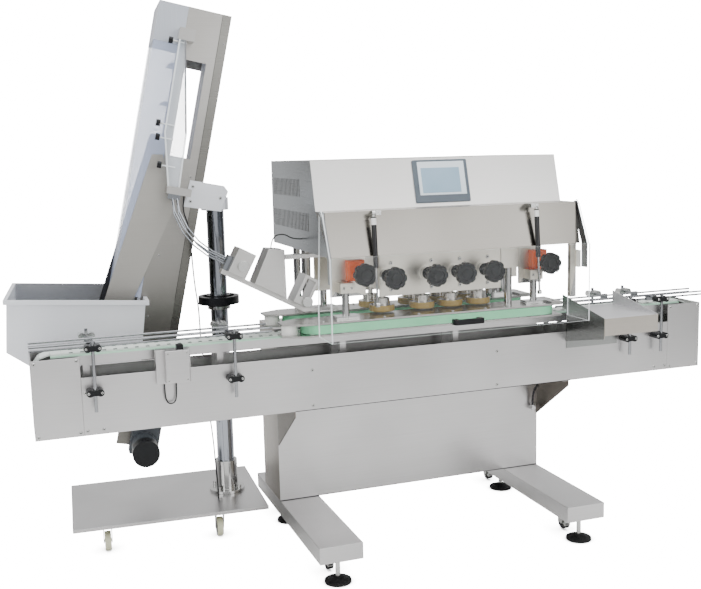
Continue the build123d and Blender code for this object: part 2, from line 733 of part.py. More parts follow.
def belt_beam():
    near, far = belt_sides()
    middle = (near + far) / 2
    low, high = BELT_BASE + BELT_PLATE, BELT_DECK - BELT_PLATE
    unit = belt_plate(BELT_BASE, low) + belt_plate(high, BELT_DECK)
    inside = BELT_SETBACK + BELT_THICK
    radius = BELT_UNIT_DEPTH / 2 - inside
    left = BELT_LOOP_LEFT + radius + BELT_THICK
    right = BELT_LOOP_RIGHT - radius - BELT_THICK
    for x in (left, right):
        unit += disc((x, middle), radius - FIT, low, high)
    unit += block((left + radius + 10, right - radius - 10), (near + inside, far - inside),
                  (low, high))
    unit += disc((BELT_UNIT_LEFT + NOSE_ROLLER_RADIUS + 8, middle), NOSE_ROLLER_RADIUS, low, high)
    unit += block((BELT_UNIT_RIGHT - END_CAP_LENGTH, BELT_UNIT_RIGHT), (near, far),
                  (BELT_DECK, BELT_DECK + END_CAP_THICK))
    return unit


def belt_beams():
    unit = belt_beam()
    return group([unit, across(unit)])


# Upper housing

def housing_profile():
    return [(HOUSING_BACK, HOUSING_BOTTOM), (HOUSING_BACK, HOUSING_TOP),
            (HOUSING_FRONT_TOP, HOUSING_TOP), SLOPE_FOOT, (HOOD_LIP, SLOPE_FOOT[1]),
            (HOOD_BOTTOM_FRONT, HOUSING_BOTTOM)]


def spring_plane(side):
    """X of a gas spring's middle: side 0 is the left one, side 1 the right one."""
    if side == 0:
        return GUARD_LEFT + SPRING_INSETS[0]
    return GUARD_RIGHT - SPRING_INSETS[1]


def spring_lug(side, point, reach, radius):
    """The lug beside a spring's eye, towards the middle of the machine."""
    sign = 1 if side == 0 else -1
    near = spring_plane(side) + sign * (SPRING_EYE_WIDTH / 2 + GAP)
    far = near + sign * 20
    x = (min(near, far), max(near, far))
    return block(x, (min(point[0] - radius, reach), max(point[0] + radius, reach)),
                 (point[1] - radius, point[1] + radius))


def housing():
    body = plate_yz(housing_profile(), HOUSING_LEFT, HOUSING_RIGHT)
    slots = []
    for near, far, low, high in LOUVRE_FIELDS:
        for i in range(int((far - near) / LOUVRE_PITCH)):
            y = far - i * LOUVRE_PITCH
            for x in (HOUSING_LEFT, HOUSING_RIGHT):
                slots.append(block((x - LOUVRE_DEPTH, x + LOUVRE_DEPTH), (y - LOUVRE_WIDTH, y),
                                   (low, high)))
    body -= slots
    for side in (0, 1):
        body += spring_lug(side, SPRING_TOP, HOOD_LIP + 2, SPRING_EYE_RADIUS)
        x = spring_plane(side)
        sign = 1 if side == 0 else -1
        body += rod((x - sign * SPRING_EYE_WIDTH / 2, *SPRING_TOP),
                    (x + sign * (SPRING_EYE_WIDTH / 2 + 2), *SPRING_TOP), SPRING_PIN_RADIUS)
    body += rod((GUARD_LEFT - 2, HINGE_Y, HINGE_Z), (HOUSING_LEFT + 1, HINGE_Y, HINGE_Z),
                HINGE_PIN_RADIUS)
    body += rod((HOUSING_RIGHT - 1, HINGE_Y, HINGE_Z), (GUARD_RIGHT + 2, HINGE_Y, HINGE_Z),
                HINGE_PIN_RADIUS)
    return body


def slope_frame():
    """A place on the sloping front: X along the machine, Y up the slope."""
    up = Vector(0, HOUSING_FRONT_TOP - SLOPE_FOOT[0], HOUSING_TOP - SLOPE_FOOT[1]).normalized()
    return Plane(origin=(PANEL_LEFT, HOUSING_FRONT_TOP, HOUSING_TOP), x_dir=(1, 0, 0),
                 z_dir=Vector(1, 0, 0).cross(up)).location


def screen_pocket(low, high):
    top = -PANEL_DROP - SCREEN_MARGIN_TOP
    return block((SCREEN_MARGIN_LEFT, SCREEN_MARGIN_LEFT + SCREEN_WIDTH),
                 (top - SCREEN_HEIGHT, top), (low, high))


def panel_bezel():
    bezel = block((0, PANEL_WIDTH), (-PANEL_DROP - PANEL_HEIGHT, -PANEL_DROP), (0, PANEL_THICK))
    bezel = fillet(bezel.edges().filter_by(Axis.Z), 5)
    bezel = chamfer(bezel.faces().sort_by(Axis.Z)[-1].edges(), 2)
    return slope_frame() * (bezel - screen_pocket(PANEL_THICK - SCREEN_DEPTH, PANEL_THICK + 1))


def panel_screen():
    return slope_frame() * screen_pocket(PANEL_THICK - SCREEN_DEPTH, PANEL_THICK)


def columns():
    pieces = []
    for x in (HOUSING_LEFT + COLUMN_INSET, HOUSING_RIGHT - COLUMN_INSET):
        for y, radius in ((FRONT_COLUMN_Y, FRONT_COLUMN_RADIUS), (REAR_COLUMN_Y, REAR_COLUMN_RADIUS)):
            pieces.append(disc((x, y), radius, CABINET_TOP, HOUSING_BOTTOM)
                          + disc((x, y), radius + 12, CABINET_TOP, CABINET_TOP + 15))
    return group(pieces)


# Capping head

def head_plate():
    front = block((HEAD_LEFT, HEAD_RIGHT), (0, HEAD_PLATE), (HEAD_BOTTOM, HOUSING_BOTTOM))
    head = front + across(front)
    for x in STATIONS:
        half = CARRIER_WIDTH / 2
        width = (max(x - half, HEAD_LEFT), x + half)
        head += block(width, (HEAD_PLATE, TROUGH_DEPTH - HEAD_PLATE),
                      (CARRIER_BOTTOM, HOUSING_BOTTOM))
        head += rod((x, -COLLAR_LENGTH, KNOB_Z), (x, 0, KNOB_Z), COLLAR_RADIUS)
    for x in STATIONS:
        head -= rod((x, -COLLAR_LENGTH, KNOB_Z), (x, HEAD_PLATE + 3, KNOB_Z),
                    KNOB_SHAFT_RADIUS + FIT)
        for y in (LANE_Y - SPINDLE_REACH, LANE_Y + SPINDLE_REACH):
            head -= disc((x, y), SPINDLE_SHAFT_RADIUS + FIT, CARRIER_BOTTOM - 1,
                         CARRIER_BOTTOM + SPINDLE_SHAFT_GRIP + 1)
    return head


def spindle(x, y):
    hub_bottom = DISC_BOTTOM + DISC_HEIGHT
    hub_top = hub_bottom + HUB_HEIGHT
    tyre = disc((x, y), DISC_RADIUS, DISC_BOTTOM, hub_bottom)
    tyre = chamfer(tyre.edges().group_by(Axis.Z)[0], 3)
    hub = disc((x, y), HUB_RADIUS, hub_bottom, hub_top)
    shaft = disc((x, y), SPINDLE_SHAFT_RADIUS, hub_top, CARRIER_BOTTOM + SPINDLE_SHAFT_GRIP)
    return tyre + hub + shaft


def knob(x, z):
    outline = Circle(KNOB_RADIUS)
    for i in range(KNOB_LOBES):
        turn = math.radians((i + 0.5) * 360 / KNOB_LOBES)
        reach = KNOB_RADIUS + KNOB_SCALLOP / 2
        outline -= Pos(reach * math.cos(turn), reach * math.sin(turn)) * Circle(KNOB_SCALLOP)
    face = Plane(origin=(x, KNOB_FRONT + KNOB_THICK, z), x_dir=(1, 0, 0), z_dir=(0, -1, 0))
    head = extrude(face * outline, KNOB_THICK)
    head -= rod((x, KNOB_FRONT - 1, z), (x, KNOB_FRONT + 5, z), KNOB_RADIUS * 0.62)
    head += rod((x, KNOB_FRONT + 2, z), (x, KNOB_FRONT + 6, z), KNOB_NECK_RADIUS)
    back = KNOB_FRONT + KNOB_THICK
    neck = rod((x, back, z), (x, back + KNOB_NECK, z), KNOB_NECK_RADIUS)
    shaft = rod((x, back + KNOB_NECK, z), (x, HEAD_PLATE - 2, z), KNOB_SHAFT_RADIUS)
    return head + neck + shaft


def end_block(plate, knob_place):
    """One end plate with its position counter's bore, clamp nut and rod."""
    body = block(plate, (0, HEAD_PLATE), (END_PLATE_BOTTOM, HOUSING_BOTTOM))
    return body - rod((knob_place[0], -1, knob_place[1]), (knob_place[0], HEAD_PLATE + 1,
                                                          knob_place[1]),
                      KNOB_SHAFT_RADIUS + FIT)


def counter(knob_place):
    x, z = knob_place
    box = block((x - COUNTER_WIDTH / 2 - 8, x + COUNTER_WIDTH / 2 - 8), (-COUNTER_DEPTH, 0),
                (z - COUNTER_DROP, z - COUNTER_DROP + COUNTER_HEIGHT))
    box = chamfer(box.edges().group_by(Axis.Y)[0], 4)
    return box - rod((x, -COUNTER_DEPTH - 1, z), (x, 1, z), KNOB_SHAFT_RADIUS + FIT)


def suspension(x):
    """A chrome rod that hangs the belt unit from its clamp nut."""
    wide, high, deep = CLAMP_NUT
    y = -SUSPENSION_REACH
    nut = block((x - wide / 2, x + wide / 2), (-deep, 0), (CLAMP_NUT_BOTTOM,
                                                           CLAMP_NUT_BOTTOM + high))
    stem = disc((x, y), SUSPENSION_RADIUS, BELT_DECK, CLAMP_NUT_BOTTOM)
    foot = block((x - FLANGE_SIZE[0] / 2, x + FLANGE_SIZE[0] / 2),
                 (y - FLANGE_SIZE[1] / 2, y + FLANGE_SIZE[1] / 2),
                 (BELT_DECK, BELT_DECK + FLANGE_SIZE[2]))
    return nut + stem + foot


def end_blocks():
    left = end_block(LEFT_END_PLATE, LEFT_END_KNOB) + suspension(SUSPENSION_X[0])
    right = end_block(RIGHT_END_PLATE, RIGHT_END_KNOB) + suspension(SUSPENSION_X[1])
    stay = disc(STAY_POST, STAY_POST_RADIUS, BELT_DECK, STAY_BLOCK_BOTTOM)
    stay += block(STAY_BLOCK, (0, 60), (STAY_BLOCK_BOTTOM, HOUSING_BOTTOM))
    pieces = [left, right, stay]
    pieces += [across(piece) for piece in pieces]
    pieces += [counter(LEFT_END_KNOB), counter(RIGHT_END_KNOB)]
    post_right = HOUSING_RIGHT - INTERLOCK_POST_INSET
    post = block((post_right - INTERLOCK_POST_WIDTH, post_right), (-200, -180),
                 (INTERLOCK_POST_BOTTOM, HOUSING_BOTTOM))
    pieces.append(post + block((post_right, HOUSING_RIGHT + 4), INTERLOCK_SWITCH[:2],
                               INTERLOCK_SWITCH[2:]))
    return group(pieces)


# Guard and gas springs

def guard_side(left):
    top_front = (GUARD_FRONT + GUARD_SHEET, GUARD_TOP)
    shape = [(GUARD_FRONT + GUARD_SHEET, GUARD_BOTTOM), (GUARD_FRONT + GUARD_RETURN, GUARD_BOTTOM),
             (GUARD_FRONT + GUARD_RETURN, GUARD_RETURN_TOP),
             (HINGE_Y + HINGE_EYE, HINGE_Z), (HINGE_Y, HINGE_Z + HINGE_EYE),
             (HINGE_Y - HINGE_EYE, HINGE_Z), top_front]
    side = plate_yz(shape, left, left + GUARD_SHEET)
    return side - rod((left - 1, HINGE_Y, HINGE_Z), (left + GUARD_SHEET + 1, HINGE_Y, HINGE_Z),
                      HINGE_PIN_RADIUS + FIT)


def guard_panel():
    front = block((GUARD_LEFT, GUARD_RIGHT), (GUARD_FRONT, GUARD_FRONT + GUARD_SHEET),
                  (GUARD_BOTTOM, GUARD_TOP))
    guard = front + guard_side(GUARD_LEFT) + guard_side(GUARD_RIGHT - GUARD_SHEET)
    for side in (0, 1):
        guard += spring_lug(side, SPRING_FOOT, GUARD_FRONT + GUARD_SHEET, SPRING_EYE_RADIUS)
    return guard


def guard_handle():
    middle = (GUARD_LEFT + GUARD_RIGHT) / 2
    x = (middle - HANDLE_WIDTH / 2, middle + HANDLE_WIDTH / 2)
    z = (HANDLE_Z - HANDLE_HEIGHT / 2, HANDLE_Z + HANDLE_HEIGHT / 2)
    grip = block(x, (GUARD_FRONT - HANDLE_STAND, GUARD_FRONT), z)
    grip = fillet(grip.edges().filter_by(Axis.Z).group_by(Axis.Y)[0], 10)
    return grip - block((x[0] + 22, x[1] - 22), (GUARD_FRONT - HANDLE_STAND + 13, GUARD_FRONT + 1),
                        (z[0] - 1, z[1] + 1))


def spring_axis(side):
    """Top eye, direction towards the foot eye and length of one gas spring."""
    x = spring_plane(side)
    top = Vector(x, *SPRING_TOP)
    run = Vector(x, *SPRING_FOOT) - top
    return top, run.normalized(), run.length


def spring_eye(centre, bore):
    half = SPRING_EYE_WIDTH / 2
    eye = rod((centre.X - half, centre.Y, centre.Z), (centre.X + half, centre.Y, centre.Z),
              SPRING_EYE_RADIUS)
    return eye - rod((centre.X - half - 1, centre.Y, centre.Z),
                     (centre.X + half + 1, centre.Y, centre.Z), bore)


def spring_cylinder(side):
    top, run, length = spring_axis(side)
    end = top + run * SPRING_BODY_LENGTH
    start = top + run * (SPRING_EYE_RADIUS + 6)
    body = rod(tuple(start), tuple(end), SPRING_BODY_RADIUS)
    body += rod(tuple(top + run * (SPRING_PIN_RADIUS + 2)), tuple(start), 5)
    bore = SPRING_ROD_GRIP + SPRING_STROKE + 2
    body -= rod(tuple(end - run * bore), tuple(end + run), SPRING_ROD_RADIUS + FIT)
    hole = rod((top.X - 9, top.Y, top.Z), (top.X + 9, top.Y, top.Z), SPRING_PIN_RADIUS + FIT)
    return body + spring_eye(top, SPRING_PIN_RADIUS + FIT) - hole


def spring_rod(side):
    top, run, length = spring_axis(side)
    foot = top + run * length
    start = top + run * (SPRING_BODY_LENGTH - SPRING_ROD_GRIP)
    stem = rod(tuple(start), tuple(foot - run * (SPRING_EYE_RADIUS - 2)), SPRING_ROD_RADIUS)
    return stem + spring_eye(foot, SPRING_PIN_RADIUS)


# Cap dispenser and track

def dispenser_box():
    foot_left = in_feed(0, 0, 0)
    foot_right = in_feed(DISPENSER_LENGTH, 0, 0)
    shape = [DISPENSER_TOP[0], DISPENSER_TOP[1], (foot_right[0], foot_right[2]),
             (foot_left[0], foot_left[2])]
    return plate_xz(shape, DISPENSER_FRONT, DISPENSER_FRONT + DISPENSER_DEPTH)


def dispenser_blocks():
    bar_y = (LANE_Y - FEED_BAR_WIDTH / 2, LANE_Y + FEED_BAR_WIDTH / 2)
    bar = feed_block(FEED_BAR, (-FEED_BAR_HEIGHT, 0), bar_y)
    y = (DISPENSER_FRONT, DISPENSER_FRONT + DISPENSER_DEPTH)
    first = feed_block(FIRST_BLOCK[:2], (0, FIRST_BLOCK[2]), y)
    second = feed_block(SECOND_BLOCK[:2], (0, SECOND_BLOCK[2]), y)
    second -= feed_block((SECOND_BLOCK[0] + 12, SECOND_BLOCK[1] - 12), (30, SECOND_BLOCK[2] - 12),
                         (y[0] - 1, y[1] + 1))
    pieces = bar + first + second
    for u, w in ((FIRST_BLOCK[0] + 41, 40), (SECOND_BLOCK[1] - 12, 22)):
        centre = in_feed(u, w, DISPENSER_FRONT)
        pieces += rod((centre[0], DISPENSER_FRONT - FEED_KNOB_LENGTH, centre[2]),
                      (centre[0], DISPENSER_FRONT + 5, centre[2]), FEED_KNOB_RADIUS)
    top = in_feed(FEED_BAR[1], 0, 0)
    low = in_feed(FEED_BAR[1], -FEED_BAR_HEIGHT, 0)
    tip = [(top[0], top[2]), LANE_TIP[0], LANE_TIP[1], (LANE_TIP[1][0], LANE_TIP[1][1] - 10),
           (LANE_TIP[0][0], LANE_TIP[0][1] - 10), (low[0], low[2])]
    pieces += plate_xz(tip, *bar_y)
    foot = in_feed(DISPENSER_LENGTH, 0, 0)
    lean = (foot[0] - DISPENSER_TOP[1][0]) / (DISPENSER_TOP[1][1] - foot[2])
    side = [(DISPENSER_TOP[1][0] + lean * (DISPENSER_TOP[1][1] - z), z) for z in ARM_Z]
    hang = HOUSING_LEFT + ARM_INSET
    arm = [side[0], (ARM_RIGHT, ARM_Z[0]), (ARM_RIGHT, HOUSING_BOTTOM), (hang, HOUSING_BOTTOM),
           (hang, ARM_Z[1]), side[1]]
    return group([pieces, plate_xz(arm, DISPENSER_FRONT, DISPENSER_FRONT + ARM_WIDTH)])


def track_rod(sideways, upward):
    """One rod of the track, beside the middle of its route."""
    points = [Vector(*p) for p in TRACK_ROUTE]
    moved = []
    for i, point in enumerate(points):
        run = points[min(i + 1, len(points) - 1)] - points[max(i - 1, 0)]
        flat = Vector(-run.Y, run.X, 0).normalized()
        rise = run.normalized().cross(flat)
        moved.append(point + flat * sideways + rise * upward)
    path = FilletPolyline(*moved, radius=TRACK_BEND)
    start = Plane(origin=path @ 0, z_dir=path % 0)
    return sweep(start * Circle(TRACK_ROD_RADIUS), path=path)


def cap_track():
    track = Part()
    for sideways in (-TRACK_SPREAD, TRACK_SPREAD):
        for upward in (-TRACK_SPREAD, TRACK_SPREAD):
            track += track_rod(sideways, upward)
    collar = LIFT_FRAME * block((148, 196), (-CHUTE_STAND - 15, -CHUTE_STAND + 15),
                                (CHUTE_CLAMP[2] - 20, CHUTE_CLAMP[2]))
    half = TRACK_COLLAR_WIDTH / 2
    last = feed_block((FEED_BAR[0], FIRST_BLOCK[0]), (0, TRACK_COLLAR_HEIGHT),
                      (LANE_Y - half, LANE_Y + half))
    return track + collar + last


# Cap lift

def lift_frame():
    deep = (0, LIFT_DEPTH)
    tall = (LIFT_BOTTOM, LIFT_TOP)
    shell = block((COVER_WIDTH, LIFT_WIDTH), deep, tall)
    shell -= block((COVER_WIDTH - 1, LIFT_WIDTH - SHEET), (SHEET, LIFT_DEPTH - SHEET),
                   (LIFT_BOTTOM - 1, LIFT_TOP - SHEET))
    shell -= block(WINDOW[:2], (-1, LIFT_DEPTH + 1), WINDOW[2:])
    strip = (LIFT_WIDTH - SEAM_STRIP, LIFT_WIDTH)
    shell += block(strip, (-SEAM_RISE, 0), tall)
    shell += block(strip, (LIFT_DEPTH, LIFT_DEPTH + SEAM_RISE), tall)
    return LIFT_FRAME * shell


def lift_cover():
    shell = block((0, COVER_WIDTH), (0, LIFT_DEPTH), (COVER_BOTTOM, LIFT_TOP))
    shell -= block((COVER_SHEET, COVER_WIDTH + 1), (COVER_SHEET, LIFT_DEPTH - COVER_SHEET),
                   (COVER_BOTTOM - 1, LIFT_TOP - COVER_SHEET))
    return LIFT_FRAME * shell


def lift_loop(radius):
    """The outline of the lift's belt at one radius round its rollers."""
    low, high = LIFT_ROLLER_LOW, LIFT_ROLLER_HIGH
    y = (LIFT_DEPTH - LIFT_BELT_WIDTH) / 2
    loop = block((LIFT_AXIS_A - radius, LIFT_AXIS_A + radius), (y, y + LIFT_BELT_WIDTH), (low, high))
    for z in (low, high):
        loop += rod((LIFT_AXIS_A, y, z), (LIFT_AXIS_A, y + LIFT_BELT_WIDTH, z), radius)
    return loop


def lift_belt():
    outer = LIFT_ROLLER_RADIUS + LIFT_BELT_THICK
    belt = lift_loop(outer) - lift_loop(LIFT_ROLLER_RADIUS)
    y = (LIFT_DEPTH - LIFT_BELT_WIDTH) / 2
    count = int((LIFT_ROLLER_HIGH - LIFT_ROLLER_LOW) / CLEAT_PITCH)
    for i in range(count):
        z = LIFT_ROLLER_LOW + (i + 0.5) * CLEAT_PITCH
        left = LIFT_AXIS_A - outer
        belt += block((left - CLEAT_LENGTH, left + 1), (y, y + LIFT_BELT_WIDTH),
                      (z, z + CLEAT_THICK))
        right = LIFT_AXIS_A + outer
        belt += block((right - 1, right + CLEAT_LENGTH), (y, y + LIFT_BELT_WIDTH),
                      (z, z + CLEAT_THICK))
    pieces = [LIFT_FRAME * belt]
    for z in (LIFT_ROLLER_LOW, LIFT_ROLLER_HIGH):
        roller = rod((LIFT_AXIS_A, y - 10, z), (LIFT_AXIS_A, LIFT_DEPTH - y + 10, z),
                     LIFT_ROLLER_RADIUS - FIT)
        shaft = rod((LIFT_AXIS_A, SHEET, z), (LIFT_AXIS_A, LIFT_DEPTH - SHEET, z), SHAFT_RADIUS)
        pieces.append(LIFT_FRAME * (roller + shaft))
    return group(pieces)


def lift_motor():
    a, b = MOTOR_AXIS
    box = block(GEARBOX[:2], (-GEARBOX_DEPTH, -SEAM_RISE), GEARBOX[2:])
    box = fillet(box.edges().filter_by(Axis.Y), 8)
    front = -GEARBOX_DEPTH - MOTOR_LENGTH
    motor = rod((a, -GEARBOX_DEPTH, b), (a, front, b), MOTOR_RADIUS)
    cover = rod((a, front, b), (a, front + FAN_COVER_LENGTH, b), FAN_COVER_RADIUS)
    return LIFT_FRAME * (box + motor + cover)


def cheek(rise):
    return [(a, b + (rise if b > COVER_BOTTOM + 100 else 0)) for a, b in CHEEK]


def hopper():
    fall = HOPPER_RIM_FALL / (HOPPER_RIGHT - HOPPER_LEFT)
    right_top = HOPPER_RIM_Z - HOPPER_RIM_FALL
    outline = [(HOPPER_LEFT, HOPPER_RIM_Z), (HOPPER_LEFT - 14, HOPPER_WALL_Z),
               (HOPPER_FLOOR_LEFT, HOPPER_FLOOR_Z), (HOPPER_FLOOR_RIGHT, HOPPER_FLOOR_Z),
               (HOPPER_RIGHT, right_top)]
    t = HOPPER_SHEET
    inside = [(HOPPER_LEFT + t, HOPPER_RIM_Z), (HOPPER_LEFT - 14 + t, HOPPER_WALL_Z + t),
              (HOPPER_FLOOR_LEFT + t / 2, HOPPER_FLOOR_Z + t),
              (HOPPER_FLOOR_RIGHT - t, HOPPER_FLOOR_Z + t), (HOPPER_RIGHT - t, right_top),
              (HOPPER_RIGHT - t, right_top + 60), (HOPPER_LEFT + t, HOPPER_RIM_Z + 60)]
    hollow = plate_xz(inside, HOPPER_FRONT + t, HOPPER_BACK - t)
    w = RIM_WIDTH
    rim = [(HOPPER_LEFT - w, HOPPER_RIM_Z + fall * w), (HOPPER_RIGHT + w, right_top - fall * w),
           (HOPPER_RIGHT + w, right_top - fall * w - RIM_HEIGHT),
           (HOPPER_LEFT - w, HOPPER_RIM_Z + fall * w - RIM_HEIGHT)]
    tub = plate_xz(outline, HOPPER_FRONT, HOPPER_BACK) + plate_xz(rim, HOPPER_FRONT - w,
                                                                  HOPPER_BACK + w)
    tub = YAW_FRAME * (tub - hollow)
    above, beyond = HOPPER_RIM_Z + 160, LIFT_WIDTH + 200
    tub -= LIFT_FRAME * block((CHEEK[5][0] - 12, beyond),
                              (-CHEEK_SHEET - GAP, LIFT_DEPTH + CHEEK_SHEET + GAP),
                              (CHEEK[4][1] - 5, above))
    tub -= LIFT_FRAME * block((0, beyond), (0, LIFT_DEPTH), (LIFT_BOTTOM, above))
    tub -= LIFT_FRAME * block((LIFT_WIDTH - SEAM_STRIP, beyond),
                              (-SEAM_RISE, LIFT_DEPTH + SEAM_RISE), (LIFT_BOTTOM, above))
    front = plate_xz(cheek(0), -CHEEK_SHEET, 0)
    back = plate_xz(cheek(REAR_CHEEK_RISE), LIFT_DEPTH, LIFT_DEPTH + CHEEK_SHEET)
    return group([tub, LIFT_FRAME * front, LIFT_FRAME * back])


# Chute in front of the lift

def strip_between(edge, other, low, high):
    shape = list(edge) + list(reversed(other))
    return plate_xz(shape, low, high)


def shifted(edge, amount):
    return [(a + amount, b) for a, b in edge]


def cap_chute():
    back = -CHUTE_STAND
    front = back - CHUTE_RAIL_DEPTH
    chute = strip_between(CHUTE_LEFT_EDGE, CHUTE_RIGHT_EDGE, back, back + CHUTE_SHEET)
    chute += strip_between(CHUTE_LEFT_EDGE, shifted(CHUTE_LEFT_EDGE, CHUTE_RAIL), front, back)
    chute += strip_between(shifted(CHUTE_RIGHT_EDGE, -CHUTE_RAIL), CHUTE_RIGHT_EDGE, front, back)
    chute += block(CHUTE_HEAD[:2], (front, 0), CHUTE_HEAD[2:])
    chute += rod((CHUTE_STAY[0], back + 1, CHUTE_STAY[1]), (CHUTE_STAY[0], 0, CHUTE_STAY[1]),
                 CHUTE_STAY_RADIUS)
    chute += block(CHUTE_CLAMP[:2], (front, -SEAM_RISE - BRACKET_SHEET), CHUTE_CLAMP[2:])
    for a, b in THUMB_KNOBS:
        middle = front + CHUTE_RAIL_DEPTH / 2
        chute += rod((a - THUMB_KNOB_LENGTH / 2, middle, b), (a + THUMB_KNOB_LENGTH / 2, middle, b),
                     THUMB_KNOB_RADIUS)
        chute += rod((a, middle, b), (a + 62, middle, b), 3)
    return LIFT_FRAME * chute


# Cart, post and bracket

def cart_plate():
    plate = block((0, CART_WIDTH), (0, CART_DEPTH), (CART_TOP - CART_THICK, CART_TOP))
    plate = fillet(plate.edges().filter_by(Axis.Z), 6)
    for x in CASTER_X:
        for y in CASTER_Y:
            low = CART_TOP - CART_THICK - CASTER_PLATE
            plate += block((x - 32, x + 32), (y - 32, y + 32), (low, CART_TOP - CART_THICK))
    return CART_FRAME * plate


def caster(x, y):
    """A swivel caster: its turning head, fork and wheel."""
    top = CART_TOP - CART_THICK - CASTER_PLATE - GAP
    wheel_y = y + CASTER_TRAIL
    half = CASTER_WIDTH / 2
    head = disc((x, y), 27, top - 8, top)
    wheel = rod((x - half, wheel_y, CASTER_RADIUS), (x + half, wheel_y, CASTER_RADIUS),
                CASTER_RADIUS)
    axle = rod((x - half - 5, wheel_y, CASTER_RADIUS), (x + half + 5, wheel_y, CASTER_RADIUS), 6)
    shape = [(y - 18, top - 4), (y + 24, top - 4), (wheel_y + 10, CASTER_RADIUS - 8),
             (wheel_y - 10, CASTER_RADIUS - 8)]
    fork = plate_yz(shape, x - half - 5, x - half - 2) + plate_yz(shape, x + half + 2, x + half + 5)
    crown = block((x - half - 5, x + half + 5), (y - 18, y + 24), (top - 8, top - 4))
    return CART_FRAME * (head + wheel + axle + fork + crown)


def post():
    body = disc(POST_AXIS, POST_RADIUS, CART_TOP, POST_TOP)
    body += disc(POST_AXIS, POST_FLANGE_RADIUS, CART_TOP, CART_TOP + POST_FLANGE_HEIGHT)
    body += disc(POST_AXIS, POST_SLEEVE_RADIUS, CART_TOP, POST_SLEEVE_TOP)
    body += disc(POST_AXIS, POST_SLEEVE_RADIUS, WHEEL_COLLAR_Z - WHEEL_COLLAR_HEIGHT, WHEEL_COLLAR_Z)
    for i in range(4):
        turn = math.radians(45 + 90 * i)
        reach = (POST_FLANGE_RADIUS + POST_SLEEVE_RADIUS) / 2
        place = (POST_AXIS[0] + reach * math.cos(turn), POST_AXIS[1] + reach * math.sin(turn))
        body += disc(place, 9, CART_TOP + POST_FLANGE_HEIGHT, CART_TOP + POST_FLANGE_HEIGHT + 16)
    return body


def post_handwheel():
    low = WHEEL_COLLAR_Z + GAP
    high = low + HAND_WHEEL_HEIGHT
    rim = disc(POST_AXIS, HAND_WHEEL_RADIUS, low + 8, high - 4)
    rim -= disc(POST_AXIS, HAND_WHEEL_RADIUS - 20, low, high)
    wheel = rim + disc(POST_AXIS, POST_RADIUS + 14, low, high)
    for i in range(3):
        turn = math.radians(30 + 120 * i)
        reach = HAND_WHEEL_RADIUS - 10
        wheel += rod((POST_AXIS[0], POST_AXIS[1], low + 24),
                     (POST_AXIS[0] + reach * math.cos(turn), POST_AXIS[1] + reach * math.sin(turn),
                      low + 24), 8)
    return wheel - disc(POST_AXIS, POST_RADIUS + FIT, low - 1, high + 1)


def post_bracket():
    plate = LIFT_FRAME * plate_xz(BRACKET_OUTLINE, -SEAM_RISE - BRACKET_SHEET, -SEAM_RISE)
    ring_top = BRACKET_RING_BOTTOM + BRACKET_RING_HEIGHT
    ring = disc(POST_AXIS, BRACKET_RING_RADIUS, BRACKET_RING_BOTTOM, ring_top)
    web = YAW_FRAME * block(BRACKET_WEB[:2], (-SEAM_RISE - 1, BRACKET_WEB[2]),
                            (BRACKET_RING_BOTTOM + 4, ring_top - 4))
    bracket = plate + ring + web
    return bracket - disc(POST_AXIS, POST_RADIUS + FIT, BRACKET_RING_BOTTOM - 1, ring_top + 1)


# Cables

def cabinet_cable():
    x = CABINET_RIGHT - CABINET_CORD_INSET
    y, z = CABINET_CORD_FOOT
    near = y - CABINET_CORD_SET
    return cord([(x, y, z), (x, y, z + 60), (x - 4, near, TROUGH_BOTTOM - 51),
                 (x - 4, near, TROUGH_BOTTOM)], CABINET_CORD)


def junction_cable():
    return cord([(x, JUNCTION_LOOP_Y, z) for x, z in JUNCTION_LOOP], THIN_CORD)


def dispenser_cable():
    left, right = DISPENSER_TOP
    top = Vector(right[0] - left[0], 0, right[1] - left[1]).normalized()
    up = Vector(-top.Z, 0, top.X)
    y = DISPENSER_CORD_ROUTE[0][1]
    foot = Vector(left[0], y, left[1]) + top * ((DISPENSER_CORD_X - left[0]) / top.X)
    last = DISPENSER_CORD_ROUTE[-1]
    return cord([tuple(foot), tuple(foot + up * 45), *DISPENSER_CORD_ROUTE,
                 (HOUSING_LEFT, last[1], last[2])], THIN_CORD)


def lift_cable():
    """From the clamp of the chute down to the cart."""
    a, c = LIFT_CORD_START
    points = [(LIFT_FRAME * Location((a, c, CHUTE_CLAMP[2] - drop))).position
              for drop in (0, LIFT_CORD_DROP)]
    start, end = [Vector(*p) for p in LIFT_CORD_FALL]
    for i in range(LIFT_CORD_STEPS + 1):
        share = i / LIFT_CORD_STEPS
        sway = LIFT_CORD_SWAY * math.sin(1.9 * i) * math.sin(math.pi * share)
        points.append(start + (end - start) * share + Vector(sway, sway, 0))
    points.append(Vector(end.X, end.Y, CART_TOP))
    return cord([tuple(p) for p in points], LIFT_CORD)


